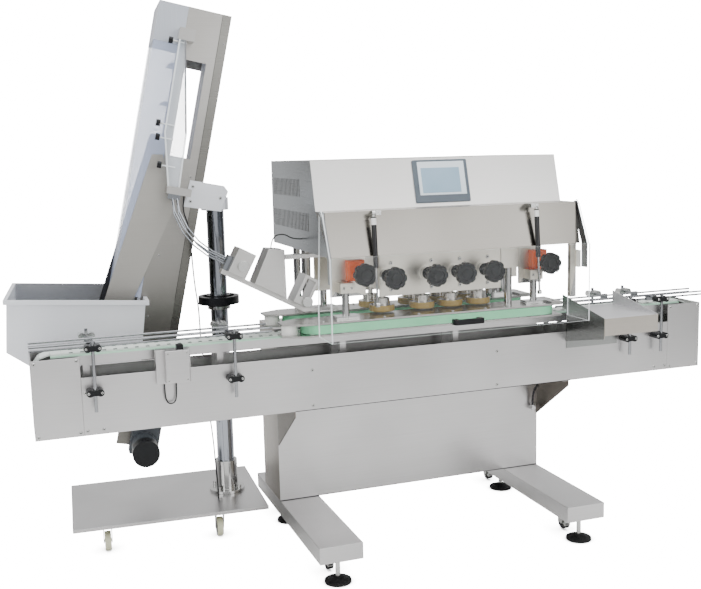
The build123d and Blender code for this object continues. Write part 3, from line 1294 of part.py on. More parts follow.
def build_all():
    """Every node by name, in the frame that the sizes above use."""
    nodes = {
        "cabinet": cabinet(),
        "foot_beams": foot_beams(),
        "floor_feet": floor_feet(),
        "trough": trough(),
        "end_covers": end_covers(),
        "conveyor_rails": conveyor_rails(),
        "slat_chain": slat_chain(),
        "guide_rails": guide_rails(),
        "guide_clamps": guide_clamps(),
        "junction_box": junction_box(),
        "reject_tray": reject_tray(),
        "belt_beams": belt_beams(),
        "side_belts": side_belts(),
        "housing": housing(),
        "panel_bezel": panel_bezel(),
        "panel_screen": panel_screen(),
        "columns": columns(),
        "head_plate": head_plate(),
        "end_blocks": end_blocks(),
        "guard_panel": guard_panel(),
        "guard_handle": guard_handle(),
        "dispenser_box": dispenser_box(),
        "dispenser_blocks": dispenser_blocks(),
        "cap_track": cap_track(),
        "lift_frame": lift_frame(),
        "lift_cover": lift_cover(),
        "lift_belt": lift_belt(),
        "lift_motor": lift_motor(),
        "hopper": hopper(),
        "cap_chute": cap_chute(),
        "cart_plate": cart_plate(),
        "post": post(),
        "post_handwheel": post_handwheel(),
        "post_bracket": post_bracket(),
        "cabinet_cable": cabinet_cable(),
        "junction_cable": junction_cable(),
        "dispenser_cable": dispenser_cable(),
        "lift_cable": lift_cable(),
    }
    for i, x in enumerate(STATIONS, 1):
        nodes[f"spindle_front_{i}"] = spindle(x, LANE_Y - SPINDLE_REACH)
        nodes[f"spindle_rear_{i}"] = spindle(x, LANE_Y + SPINDLE_REACH)
        nodes[f"head_knob_{i}"] = knob(x, KNOB_Z)
    nodes["end_knob_left"] = knob(*LEFT_END_KNOB)
    nodes["end_knob_right"] = knob(*RIGHT_END_KNOB)
    for side, name in enumerate(("left", "right")):
        nodes[f"spring_cylinder_{name}"] = spring_cylinder(side)
        nodes[f"spring_rod_{name}"] = spring_rod(side)
    for row, y in zip(("front", "rear"), CASTER_Y):
        for side, x in zip(("left", "right"), CASTER_X):
            nodes[f"caster_{row}_{side}"] = caster(x, y)
    return nodes


NODES = build_all()
OUTLINE = Compound([solid for shape in NODES.values() for solid in shape.solids()]).bounding_box()
SHIFT = Pos(-OUTLINE.center().X, -OUTLINE.center().Y, -OUTLINE.min.Z)

os.makedirs("parts", exist_ok=True)
for name, shape in NODES.items():
    export_step(SHIFT * shape, f"parts/{name}.step")
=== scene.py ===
import json
import math

import bmesh
import bpy
from mathutils import Matrix, Quaternion, Vector

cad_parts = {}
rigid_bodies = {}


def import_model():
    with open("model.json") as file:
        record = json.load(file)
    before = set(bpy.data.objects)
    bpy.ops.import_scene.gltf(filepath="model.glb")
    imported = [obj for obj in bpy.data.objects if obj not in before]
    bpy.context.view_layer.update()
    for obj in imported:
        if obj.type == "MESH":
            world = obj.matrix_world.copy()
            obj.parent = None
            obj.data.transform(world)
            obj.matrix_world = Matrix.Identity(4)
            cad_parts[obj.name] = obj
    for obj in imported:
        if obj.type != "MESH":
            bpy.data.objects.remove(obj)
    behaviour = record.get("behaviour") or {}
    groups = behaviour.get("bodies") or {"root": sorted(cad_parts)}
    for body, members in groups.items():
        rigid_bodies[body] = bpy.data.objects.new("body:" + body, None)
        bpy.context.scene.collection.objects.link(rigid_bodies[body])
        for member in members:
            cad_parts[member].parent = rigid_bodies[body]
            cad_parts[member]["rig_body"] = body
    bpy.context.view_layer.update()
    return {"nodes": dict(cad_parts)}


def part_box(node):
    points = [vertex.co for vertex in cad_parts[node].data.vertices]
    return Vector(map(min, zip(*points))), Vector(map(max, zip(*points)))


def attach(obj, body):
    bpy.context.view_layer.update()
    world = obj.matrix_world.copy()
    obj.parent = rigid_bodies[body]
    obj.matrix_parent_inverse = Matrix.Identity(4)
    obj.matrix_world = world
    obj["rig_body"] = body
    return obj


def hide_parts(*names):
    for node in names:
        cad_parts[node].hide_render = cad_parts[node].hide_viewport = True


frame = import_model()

# Camera, at the photographer's place: a little left of the machine and at the
# height of the guard, looking slightly down. Points are given in millimetres
# from the conveyor's drawing zero: X along the line, Y away, Z above the floor.
machine_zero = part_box("trough")[0] - Vector((0.195, 0, 0.599))


def at(x, y, z):
    """A drawing point, in the metres of the scene."""
    return machine_zero + Vector((x, y, z)) / 1000


camera = bpy.data.objects.new("photo_camera", bpy.data.cameras.new("photo_camera"))
bpy.context.scene.collection.objects.link(camera)
sensor_width, focal_pixels, photo_pixels = 36, 968.5, 701
camera.data.sensor_fit = "HORIZONTAL"
camera.data.sensor_width = sensor_width
camera.data.lens = sensor_width * focal_pixels / photo_pixels
view = Vector((0.3268, 0.9340, -0.1443)).to_track_quat("-Z", "Y")
roll = Quaternion((0, 0, 1), math.radians(-1.4417))
photographer = at(0, -3402.8, 1553.3)
camera.matrix_world = Matrix.LocRotScale(photographer, view @ roll, None)
bpy.context.scene.camera = camera


# Floor and light: a white paper floor under three soft boxes, in a white room with
# a black flag at each side, which polished bars show as dark stripes. The paper
# glows for the camera alone, and less where something stands close to it: a
# painted contact shadow.
def linear(code):
    """The shader's colour for an sRGB hex value."""
    values = [int(code[i:i + 2], 16) / 255 for i in (1, 3, 5)]
    return (*[v / 12.92 if v <= 0.04045 else ((v + 0.055) / 1.055) ** 2.4 for v in values], 1)


def add(tree, kind, settings=None, links=None):
    """Adds a node with its settings and its links."""
    new = tree.nodes.new(kind)
    for name, value in (settings or {}).items():
        if isinstance(name, int) or name in new.inputs:
            new.inputs[name].default_value = value
        else:
            setattr(new, name, value)
    for name, source in (links or {}).items():
        tree.links.new(source, new.inputs[name])
    return new


def coat(name, **settings):
    """A material and its shader, with the shader's plain settings."""
    material = bpy.data.materials.new(name)
    material.use_nodes = True
    shader = material.node_tree.nodes["Principled BSDF"]
    for key, value in settings.items():
        shader.inputs[key.replace("_", " ").title().replace("Ior", "IOR")].default_value = value
    return material, material.node_tree, shader


floor_half = 5
floor_corners = [(x * floor_half, y * floor_half, 0)
                 for x, y in ((-1, -1), (1, -1), (1, 1), (-1, 1))]
floor_mesh = bpy.data.meshes.new("paper_floor")
floor_mesh.from_pydata(floor_corners, [], [(0, 1, 2, 3)])
floor = bpy.data.objects.new("paper_floor", floor_mesh)
bpy.context.scene.collection.objects.link(floor)
paper, paper_tree, paper_shader = coat("white_paper", Base_Color=linear("#fbfbfa"),
                                       Roughness=0.9, Emission_Color=linear("#ffffff"))
backdrop_light = 18.0
seen_by = add(paper_tree, "ShaderNodeLightPath")
# Ambient occlusion dims the glow near things on the paper, painting their contact shadow.
nearby = add(paper_tree, "ShaderNodeAmbientOcclusion", {"Distance": 0.1, "samples": 8})
painted_contact_shadow = add(paper_tree, "ShaderNodeMapRange",
              {"From Min": 0.35, "From Max": 1.0, "To Min": 0.09, "To Max": backdrop_light},
              {0: nearby.outputs["AO"]})
glow = add(paper_tree, "ShaderNodeMath", {"operation": "MULTIPLY"},
           {0: painted_contact_shadow.outputs["Result"], 1: seen_by.outputs["Is Camera Ray"]})
paper_tree.links.new(glow.outputs["Value"], paper_shader.inputs["Emission Strength"])
floor_mesh.materials.append(paper)

studio = bpy.data.worlds.new("white_studio")
studio.use_nodes = True
sky = studio.node_tree
way_out = add(sky, "ShaderNodeTexCoord")
shade = None
for flag_direction in ((-0.93, -0.36, 0.0), (0.96, -0.27, 0.0)):
    toward = add(sky, "ShaderNodeVectorMath", {"operation": "DOT_PRODUCT", 1: flag_direction},
                 {0: way_out.outputs["Generated"]})
    flag = add(sky, "ShaderNodeMapRange",
               {"From Min": 0.74, "From Max": 0.90, "To Min": 1.0, "To Max": 0.08},
               {"Value": toward.outputs["Value"]})
    if shade is None:
        shade = flag.outputs["Result"]
    else:
        shade = add(sky, "ShaderNodeMath", {"operation": "MULTIPLY"},
                    {0: shade, 1: flag.outputs["Result"]}).outputs["Value"]
ray = add(sky, "ShaderNodeLightPath")
direct = add(sky, "ShaderNodeMath", {"operation": "MAXIMUM"},
             {0: ray.outputs["Is Camera Ray"], 1: ray.outputs["Is Transmission Ray"]})
level = add(sky, "ShaderNodeMix", {"data_type": "FLOAT", 3: backdrop_light},
            {0: direct.outputs["Value"], 2: shade})
sky.links.new(level.outputs[0], sky.nodes["Background"].inputs["Strength"])
sky.nodes["Background"].inputs["Color"].default_value = linear("#fdfdfd")
bpy.context.scene.world = studio


def soft_box(name, place, aim, width, height, power):
    """A rectangular lamp that faces its aim, with its sides in metres and its power in watts."""
    lamp = bpy.data.lights.new(name, "AREA")
    lamp.shape = "RECTANGLE"
    lamp.size, lamp.size_y, lamp.energy = width, height, power
    made = bpy.data.objects.new(name, lamp)
    bpy.context.scene.collection.objects.link(made)
    made.matrix_world = Matrix.LocRotScale(Vector(place), (Vector(aim) - Vector(place))
                                           .to_track_quat("-Z", "Y"), None)


soft_box("top_box", (-0.2, -0.6, 4.4), (0, 0, 1), 5.0, 2.6, 170)
soft_box("left_box", (-4.2, -2.6, 2.6), (0, 0, 1), 2.4, 2.8, 90)
soft_box("front_box", (1.8, -4.6, 2.2), (0, 0, 0.9), 3.0, 2.0, 60)


# Cabinet and beams: folded 304 stainless steel, brushed along the sheet, which
# spreads reflections sideways in fine lines. Two welded gussets carry the trough and
# are painted dark as its shade, the cabinet's left side is painted in shade, and dark
# strips of painted shadow run under the trough and along the cabinet's foot.
def brushed(name, dull, bright, roughness, grain=(3, 3, 420), painted_shade_fade=None, depth=0.0001,
            metallic=1.0):
    """Metal whose grain lines are stretched along X and Y, in lines per metre and coarser
    than real grit so that they show. A painted shade fade gives two heights in metres and
    the colour that the sheet is painted darker to at the lower one, as shade; the depth of
    the lines is in metres."""
    material, tree, shader = coat(name, Metallic=metallic)
    place = add(tree, "ShaderNodeTexCoord")
    stretch = add(tree, "ShaderNodeMapping", {"Scale": grain}, {"Vector": place.outputs["Object"]})
    lines = add(tree, "ShaderNodeTexNoise", {"Scale": 1.0, "Detail": 5.0, "Roughness": 0.7},
                {"Vector": stretch.outputs["Vector"]})
    clouds = add(tree, "ShaderNodeTexNoise", {"Scale": 1.7, "Detail": 2.0},
                 {"Vector": place.outputs["Object"]})
    blend = add(tree, "ShaderNodeMath", {"operation": "MULTIPLY_ADD", 1: 0.45},
                {0: lines.outputs["Fac"], 2: clouds.outputs["Fac"]})
    level = add(tree, "ShaderNodeMapRange", {"From Min": 0.45, "From Max": 1.0},
                {"Value": blend.outputs["Value"]})
    tint = add(tree, "ShaderNodeMix",
               {"data_type": "RGBA", 6: linear(dull), 7: linear(bright)},
               {0: level.outputs["Result"]})
    rough = add(tree, "ShaderNodeMapRange",
                {"To Min": roughness - 0.05, "To Max": roughness + 0.09},
                {"Value": lines.outputs["Fac"]})
    relief = add(tree, "ShaderNodeBump", {"Strength": 0.1, "Distance": depth},
                 {"Height": lines.outputs["Fac"]})
    colour = tint.outputs[2]
    if painted_shade_fade:
        spot = add(tree, "ShaderNodeSeparateXYZ", None, {"Vector": place.outputs["Object"]})
        height = add(tree, "ShaderNodeMapRange", {"From Min": painted_shade_fade[0], "From Max": painted_shade_fade[1]},
                     {"Value": spot.outputs["Z"]})
        colour = add(tree, "ShaderNodeMix", {"data_type": "RGBA", 6: linear(painted_shade_fade[2])},
                     {0: height.outputs["Result"], 7: colour}).outputs[2]
    tree.links.new(colour, shader.inputs["Base Color"])
    tree.links.new(rough.outputs["Result"], shader.inputs["Roughness"])
    tree.links.new(relief.outputs["Normal"], shader.inputs["Normal"])
    return material


def plain_metal(name, colour, roughness, speckle=220):
    """Turned or ground metal: sharp reflections, with a fine even variation of its gloss."""
    material, tree, shader = coat(name, Metallic=1.0, Base_Color=linear(colour))
    place = add(tree, "ShaderNodeTexCoord")
    grit = add(tree, "ShaderNodeTexNoise", {"Scale": speckle, "Detail": 3.0},
               {"Vector": place.outputs["Object"]})
    rough = add(tree, "ShaderNodeMapRange",
                {"To Min": roughness * 0.7, "To Max": roughness * 1.4},
                {"Value": grit.outputs["Fac"]})
    tree.links.new(rough.outputs["Result"], shader.inputs["Roughness"])
    return material


def moulded(name, colour, light, roughness, grain=900, depth=0.0002, gloss=0.5):
    """Plastic or rubber with a fine moulded grain, given in dimples per metre, that breaks up
    its highlights."""
    material, tree, shader = coat(name, IOR=1.5, Specular_Ior_Level=gloss)
    place = add(tree, "ShaderNodeTexCoord")
    dimples = add(tree, "ShaderNodeTexNoise", {"Scale": grain, "Detail": 2.0},
                  {"Vector": place.outputs["Object"]})
    clouds = add(tree, "ShaderNodeTexNoise", {"Scale": 14.0, "Detail": 3.0},
                 {"Vector": place.outputs["Object"]})
    tint = add(tree, "ShaderNodeMix",
               {"data_type": "RGBA", 6: linear(colour), 7: linear(light)},
               {0: clouds.outputs["Fac"]})
    rough = add(tree, "ShaderNodeMapRange",
                {"To Min": roughness - 0.08, "To Max": roughness + 0.08},
                {"Value": dimples.outputs["Fac"]})
    relief = add(tree, "ShaderNodeBump", {"Strength": 0.25, "Distance": depth},
                 {"Height": dimples.outputs["Fac"]})
    tree.links.new(tint.outputs[2], shader.inputs["Base Color"])
    tree.links.new(rough.outputs["Result"], shader.inputs["Roughness"])
    tree.links.new(relief.outputs["Normal"], shader.inputs["Normal"])
    return material


def skin(node, coats, edge=1.2, cuts=()):
    """A finished copy of a solid in its place: edges eased by so many millimetres, and each
    face in the first coat whose test its middle passes. Cuts split faces between two coats."""
    source = frame["nodes"][node]
    mesh = source.data.copy()
    mesh.name = f"{node}_finished"
    mesh.materials.clear()
    for material, _ in coats:
        mesh.materials.append(material)
    if "custom_normal" in mesh.attributes:
        mesh.attributes.remove(mesh.attributes["custom_normal"])
    work = bmesh.new()
    work.from_mesh(mesh)
    bmesh.ops.remove_doubles(work, verts=work.verts, dist=2e-6)
    for point, normal in cuts:
        bmesh.ops.bisect_plane(work, geom=work.verts[:] + work.edges[:] + work.faces[:],
                               plane_co=at(*point), plane_no=normal, dist=1e-6)
    for face in work.faces:
        middle = (face.calc_center_median() - machine_zero) * 1000
        face.material_index = next(i for i, (_, test) in enumerate(coats)
                                   if test is None or test(middle))
    bmesh.ops.dissolve_limit(work, angle_limit=math.radians(0.8), verts=work.verts[:],
                             edges=work.edges[:], delimit={"MATERIAL"})
    for face in work.faces:
        face.smooth = True
    for line in work.edges:
        line.smooth = len(line.link_faces) == 2 and line.calc_face_angle(0) < math.radians(31)
    work.to_mesh(mesh)
    work.free()
    piece = bpy.data.objects.new(f"{node}_finished", mesh)
    bpy.context.scene.collection.objects.link(piece)
    if edge:
        ease = piece.modifiers.new("eased_edges", "BEVEL")
        ease.width = edge / 1000
        ease.segments = 2
        ease.limit_method = "ANGLE"
        ease.angle_limit = math.radians(32)
        ease.harden_normals = True
        ease.use_clamp_overlap = True
    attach(piece, source["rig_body"])
    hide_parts(node)
    return piece


def solid(name, vertices, faces):
    """A mesh object from points in the scene's metres, its faces turned outwards."""
    mesh = bpy.data.meshes.new(name)
    mesh.from_pydata([tuple(v) for v in vertices], [], faces)
    work = bmesh.new()
    work.from_mesh(mesh)
    bmesh.ops.remove_doubles(work, verts=work.verts, dist=1e-6)
    bmesh.ops.recalc_face_normals(work, faces=work.faces)
    work.to_mesh(mesh)
    work.free()
    made = bpy.data.objects.new(name, mesh)
    bpy.context.scene.collection.objects.link(made)
    return made


def box(name, corner, low, high):
    """A plain box, from its low and high corners through a placing function."""
    points = [corner(x, y, z) for x in (low[0], high[0]) for y in (low[1], high[1])
              for z in (low[2], high[2])]
    return solid(name, points, [(0, 1, 3, 2), (4, 6, 7, 5), (0, 4, 5, 1), (2, 3, 7, 6),
                                (0, 2, 6, 4), (1, 5, 7, 3)])


def eased_box(name, corner, low, high, material, ease):
    """A box on the machine's frame, its edges eased by so many millimetres."""
    made = box(name, corner, low, high)
    made.data.materials.append(material)
    for face in made.data.polygons:
        face.use_smooth = True
    round_off = made.modifiers.new("eased_edges", "BEVEL")
    round_off.width = ease / 1000
    round_off.segments = 2
    round_off.harden_normals = True
    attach(made, "root")


sheet_steel = brushed("brushed_304_stainless", "#b7b6b6", "#d2d1d1", 0.30)
painted_shade_gusset_steel = brushed("shaded_304_gusset", "#6a645d", "#7b756e", 0.34)
painted_shade_cabinet_side = brushed("shaded_304_side", "#96918a", "#a8a39c", 0.32)
cabinet_left, cabinet_right, cabinet_front = 960, 2146, 267
gusset_foot, gusset_reach, side_foot = 380, 7, 100


def is_gusset(p):
    beside = min(abs(p.x - cabinet_left), abs(p.x - cabinet_right))
    return p.y < cabinet_front - 0.1 and p.z > gusset_foot and beside < gusset_reach


def is_cabinet_side(p):
    return p.x < cabinet_left + 0.1 and p.z > side_foot


# The gussets and the cabinet's left side take darker copies of the steel: painted shade.
skin("cabinet", [(painted_shade_gusset_steel, is_gusset), (painted_shade_cabinet_side, is_cabinet_side), (sheet_steel, None)],
     edge=2.0, cuts=[((0, cabinet_front, 0), (0, 1, 0))])
for node in ("foot_beams", "cart_plate"):
    skin(node, [(sheet_steel, None)], edge=2.0)
# A near-black coat for gaps, slots, seams and screw keys: painted shade where they recede.
painted_gap_shade = moulded("shadowed_recess", "#101112", "#18191a", 0.8, gloss=0.2)
cabinet_foot = (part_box("cabinet")[0] - machine_zero).z * 1000
trough_bottom = 599
# Thin dark strips under the trough and along the cabinet's foot: painted shadow lines.
eased_box("trough_shadow_line", at, (cabinet_left, -0.3, trough_bottom),
          (cabinet_right, 0.6, trough_bottom + 2.5), painted_gap_shade, 0.1)
eased_box("cabinet_foot_shadow_line", at, (cabinet_left, cabinet_front - 0.6, cabinet_foot),
          (cabinet_right, cabinet_front + 0.6, cabinet_foot + 2.5), painted_gap_shade, 0.1)

# Feet under the beams: black moulded rubber pads on zinc-plated stems, and small
# black casters between them that the machine rolls on once the feet are raised.
black_rubber = moulded("black_moulded_rubber", "#0c0d0e", "#161718", 0.62, gloss=0.3)
zinc = plain_metal("bright_zinc_plate", "#c9cac8", 0.24)
pad_top = 24.5
skin("floor_feet", [(black_rubber, lambda p: p.z < pad_top), (zinc, None)], edge=0.8)

# Conveyor: a folded stainless trough with a boxed cover at each end, closed by
# button-head screws; two side rails carry the pale wear strips of the chain.
for node in ("trough", "end_covers"):
    skin(node, [(sheet_steel, None)], edge=1.6)
wear_strip = moulded("pale_green_polyethylene", "#a9d8bd", "#bfe3cd", 0.42)
rail_top = 875
skin("conveyor_rails", [(wear_strip, lambda p: p.z > rail_top + 0.01), (sheet_steel, None)],
     edge=0.8)


def growing_tree(name, inputs):
    """A tree with the named inputs, one geometry output, and its node of given values."""
    tree = bpy.data.node_groups.new(name, "GeometryNodeTree")
    for title, kind in inputs:
        tree.interface.new_socket(title, in_out="INPUT", socket_type=f"NodeSocket{kind}")
    tree.interface.new_socket("Grown", in_out="OUTPUT", socket_type="NodeSocketGeometry")
    return tree, add(tree, "NodeGroupInput")


screw_tree, given = growing_tree("button_head_screws", (
    ("Places", "Geometry"), ("Head radius", "Float"), ("Head height", "Float"),
    ("Head finish", "Material"), ("Painted key shade", "Material")))
shoulder = add(screw_tree, "ShaderNodeMath", {"operation": "MULTIPLY", 1: 0.7},
               {0: given.outputs["Head radius"]})
key_radius = add(screw_tree, "ShaderNodeMath", {"operation": "MULTIPLY", 1: 0.42},
                 {0: given.outputs["Head radius"]})
head = add(screw_tree, "GeometryNodeMeshCone", {"Vertices": 16},
           {"Radius Bottom": given.outputs["Head radius"], "Radius Top": shoulder.outputs["Value"],
            "Depth": given.outputs["Head height"]})
# The key is a thin dark hexagon on the head: painted shade of the hex socket.
key = add(screw_tree, "GeometryNodeMeshCylinder", {"Vertices": 6, "Depth": 0.0004},
          {"Radius": key_radius.outputs["Value"]})
lifted = add(screw_tree, "ShaderNodeCombineXYZ", None, {"Z": given.outputs["Head height"]})
key_up = add(screw_tree, "GeometryNodeTransform", None,
             {"Geometry": key.outputs["Mesh"], "Translation": lifted.outputs["Vector"]})
key_mark = add(screw_tree, "GeometryNodeStoreNamedAttribute",
               {"data_type": "BOOLEAN", "domain": "FACE", "Name": "key", "Value": True},
               {"Geometry": key_up.outputs["Geometry"]})
whole = add(screw_tree, "GeometryNodeJoinGeometry")
screw_tree.links.new(head.outputs["Mesh"], whole.inputs["Geometry"])
screw_tree.links.new(key_mark.outputs["Geometry"], whole.inputs["Geometry"])
facing = add(screw_tree, "GeometryNodeInputNamedAttribute",
             {"data_type": "FLOAT_VECTOR", "Name": "facing"})
turned_to = add(screw_tree, "FunctionNodeAlignRotationToVector", {"axis": "Z"},
                {"Vector": facing.outputs["Attribute"]})
placed = add(screw_tree, "GeometryNodeInstanceOnPoints", None,
             {"Points": given.outputs["Places"], "Instance": whole.outputs["Geometry"],
              "Rotation": turned_to.outputs["Rotation"]})
real = add(screw_tree, "GeometryNodeRealizeInstances", None,
           {"Geometry": placed.outputs["Instances"]})
head_set = add(screw_tree, "GeometryNodeSetMaterial", None,
               {"Geometry": real.outputs["Geometry"], "Material": given.outputs["Head finish"]})
is_key = add(screw_tree, "GeometryNodeInputNamedAttribute",
             {"data_type": "BOOLEAN", "Name": "key"})
key_set = add(screw_tree, "GeometryNodeSetMaterial", None,
              {"Geometry": head_set.outputs["Geometry"], "Selection": is_key.outputs["Attribute"],
               "Material": given.outputs["Painted key shade"]})
add(screw_tree, "NodeGroupOutput", None, {"Grown": key_set.outputs["Geometry"]})


def grow(tree, name, mesh, values):
    """Runs a tree on a mesh and keeps the result as a plain mesh on the machine's frame."""
    source = bpy.data.objects.new(name, mesh)
    bpy.context.scene.collection.objects.link(source)
    run = source.modifiers.new("growth", "NODES")
    run.node_group = tree
    for item in tree.interface.items_tree:
        if item.in_out == "INPUT" and item.name in values:
            run[item.identifier] = values[item.name]
    seen = bpy.context.evaluated_depsgraph_get()
    made = bpy.data.meshes.new_from_object(source.evaluated_get(seen))
    source.modifiers.remove(run)
    source.data = made
    made.name = name
    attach(source, "root")


def screws(name, places, radius, height):
    """Plated button-head screws: each place is a drawing point and the way its head faces."""
    # The key of each head is a thin dark disc: painted shade in its socket.
    mesh = bpy.data.meshes.new(name)
    mesh.from_pydata([tuple(at(*point)) for point, _ in places], [], [])
    way = mesh.attributes.new("facing", "FLOAT_VECTOR", "POINT")
    way.data.foreach_set("vector", [value for _, out in places for value in out])
    grow(screw_tree, name, mesh, {"Head radius": radius / 1000, "Head height": height / 1000,
                                  "Head finish": zinc, "Painted key shade": painted_gap_shade})


front, behind = (0, -1, 0), (0, 1, 0)
trough_depth = 210
cover_screws = []
for xs, zs in (((43, 183, 2637, 2777), (612, 868)),
               ((207, 262, 1031, 1807, 2560, 2613), (616, 752))):
    for x in xs:
        for z in zs:
            cover_screws += [((x, 0, z), front), ((x, trough_depth, z), behind)]
screws("conveyor_screws", cover_screws, radius=6.5, height=3)

# Slat chain: 82.5 mm acetal slats, moulded in a pale greenish white, that hinge
# on each other and run over a toothed wheel at each end. The shade in the gaps of
# their hinge knuckles is painted as a row of short dark notches near both edges.
slat_plastic = moulded("white_acetal_slats", "#d5ded8", "#e6ebe6", 0.35)
chain_axis_z, wheel_xs, wheel_edge = 820.2, (101, 2719), 59.95


def is_wheel(p):
    return min(math.hypot(p.x - x, p.z - chain_axis_z) for x in wheel_xs) < wheel_edge


skin("slat_chain", [(zinc, is_wheel), (slat_plastic, None)], edge=0.5)
knuckle_tree, knuckle_given = growing_tree("hinge_knuckle_gap_shade", (("Places", "Geometry"),
                                                              ("Finish", "Material")))
notch = add(knuckle_tree, "GeometryNodeMeshCube", {"Size": (0.013, 0.018, 0.0006)})
notches = add(knuckle_tree, "GeometryNodeInstanceOnPoints", None,
              {"Points": knuckle_given.outputs["Places"], "Instance": notch.outputs["Mesh"]})
real_notches = add(knuckle_tree, "GeometryNodeRealizeInstances", None,
                   {"Geometry": notches.outputs["Instances"]})
dark_notches = add(knuckle_tree, "GeometryNodeSetMaterial", None,
                   {"Geometry": real_notches.outputs["Geometry"],
                    "Material": knuckle_given.outputs["Finish"]})
add(knuckle_tree, "NodeGroupOutput", None, {"Grown": dark_notches.outputs["Geometry"]})
lane_middle, knuckle_reach, knuckle_z = 105, 31, 885.1
knuckle_start, knuckle_pitch, knuckle_count = 171, 38.1, 65
knuckle_mesh = bpy.data.meshes.new("chain_knuckle_gap_shade")
knuckle_mesh.from_pydata([tuple(at(knuckle_start + knuckle_pitch * i, y, knuckle_z))
                          for y in (lane_middle - knuckle_reach, lane_middle + knuckle_reach)
                          for i in range(knuckle_count)], [], [])
# The notches are thin dark plates: painted shade of the knuckle gaps.
knuckle_shade = moulded("shaded_hinge_knuckle", "#3f4a45", "#55605b", 0.5)
grow(knuckle_tree, "chain_knuckle_gap_shade", knuckle_mesh, {"Finish": knuckle_shade})

# Guide rails: drawn 8 mm rods that keep the bottles in line, on cross rods held by
# clamps with two bright screws each, on 12 mm posts. The clamps are moulded and
# black, but for the plated ones that hold the rods of the far side.
polished = plain_metal("polished_stainless_bar", "#bcbcbb", 0.11)
black_nylon = moulded("black_glass_filled_nylon", "#0a0b0d", "#17191c", 0.34, gloss=0.22)
rail_bar = plain_metal("drawn_stainless_rod", "#96989b", 0.16)
skin("guide_rails", [(rail_bar, None)], edge=0.3)
upper_clamps = 880
skin("guide_clamps", [(zinc, lambda p: p.y > lane_middle and p.z > upper_clamps),
                      (black_nylon, None)], edge=1.5)
post_xs, clamp_front, clamp_back = (238, 732, 2410, 2565), -47, 257
clamp_screws = []
for x in post_xs:
    for z in (758, 914):
        for reach in (-22.5, 22.5):
            clamp_screws += [((x + reach, clamp_front, z), front),
                             ((x + reach, clamp_back, z), behind)]
screws("clamp_screws", clamp_screws, radius=5.5, height=3)

# Junction box for the sensors of the line: folded stainless steel, with a small
# black sensor on its top and a loop of cable below.
box_lid = 885.5
skin("junction_box", [(black_nylon, lambda p: p.z > box_lid), (sheet_steel, None)], edge=1.5)
screws("junction_screws", [((x, -60, z), front) for x in (489, 555) for z in (779, 875)],
       radius=3.5, height=2)

# Reject tray: one bent sheet with low side walls, hung on the front of the line.
# Its floor and inner wall are painted light where they catch the top light, its other
# faces are painted darker in shade, and its lip is a little warmer.
painted_shade_tray_steel = brushed("brushed_304_tray", "#8c8e8d", "#a6a8a6", 0.27)
painted_light_tray_floor = brushed("brushed_304_tray_floor", "#dddddf", "#efeff1", 0.36)
tray_lip = brushed("brushed_304_tray_lip", "#b5afa6", "#c9c3ba", 0.32)
tray_left, tray_front, tray_floor = 2125, -270, 900
# Lit and shaded copies of one steel: painted light on the floor, painted shade elsewhere.
skin("reject_tray",
     [(tray_lip, lambda p: p.y < tray_front + 0.1),
      (painted_light_tray_floor, lambda p: p.z > tray_floor - 0.5 and p.x > tray_left + 0.5),
      (painted_shade_tray_steel, None)], edge=0.8)

# Side belts: green polyurethane belts that carry the bottles past the spindles,
# between ground plates with a pulley at each end and a white roller in the nose.
belt_green = moulded("green_polyurethane_belt", "#6cc391", "#88d5a9", 0.5, grain=600)
plate_steel = brushed("ground_steel_plate", "#a5a4a1", "#bab9b6", 0.24, grain=(4, 500, 500))
roller_white = moulded("white_nylon", "#e4e4df", "#f0f0ec", 0.4)
skin("side_belts", [(belt_green, None)], edge=0.8)
roller_right, roller_low, roller_high = 980, 900.1, 936.9
skin("belt_beams",
     [(roller_white, lambda p: p.x < roller_right and roller_low < p.z < roller_high),
      (plate_steel, None)], edge=1.0)
upward, plate_top, end_top, end_left = (0, 0, 1), 944, 952, 2000
belt_screws = []
for x in (1060, 1300, 1440, 1580, 1720, 1800, 2020):
    for y in (-70, 280):
        belt_screws.append(((x, y, plate_top if x < end_left else end_top), upward))
screws("belt_unit_screws", belt_screws, radius=6, height=4)

# Upper housing: a folded stainless hood with pressed louvres on its sides, their slots
# painted dark as shade. Its slope is painted light where it faces the top light, while
# the band below it and the left side are painted in shade. The plated lugs of the gas
# springs are fixed along the band's upper edge.
housing_steel = brushed("brushed_304_hood", "#a8a59f", "#bfbcb6", 0.27)
housing_left, housing_right, housing_sheet = 1040, 2050, 3
slope_foot, slope_back, band_back = 1349.5, -20, -150
lug_foot, lug_back, lug_reach = 1330, -178, 32
spring_xs = {"left": 1208, "right": 1859}


def in_louvre(p):
    return min(abs(p.x - housing_left - housing_sheet),
               abs(p.x - housing_right + housing_sheet)) < 0.2


def is_slope(p):
    inside = housing_left + 0.5 < p.x < housing_right - 0.5
    return inside and p.y < slope_back and p.z > slope_foot


def is_lug(p):
    from_spring = min(abs(p.x - x) for x in spring_xs.values())
    return p.y < lug_back and p.z > lug_foot and from_spring < lug_reach


painted_light_slope_steel = brushed("brushed_304_slope", "#ebe9e6", "#fbfaf8", 0.34)
painted_shade_band_steel = brushed("brushed_304_band", "#7c7973", "#928f89", 0.22, depth=0.00001)
painted_shade_side_steel = brushed("brushed_304_side", "#878b8e", "#9b9fa2", 0.27)
# Louvre slots take painted gap shade; slope, band and left side take lit and shaded copies of the
# hood steel.
skin("housing", [(painted_gap_shade, in_louvre), (zinc, is_lug), (painted_light_slope_steel, is_slope),
                 (painted_shade_band_steel, lambda p: p.y < band_back),
                 (painted_shade_side_steel, lambda p: p.x < housing_left + 0.1),
                 (housing_steel, None)], edge=1.6)

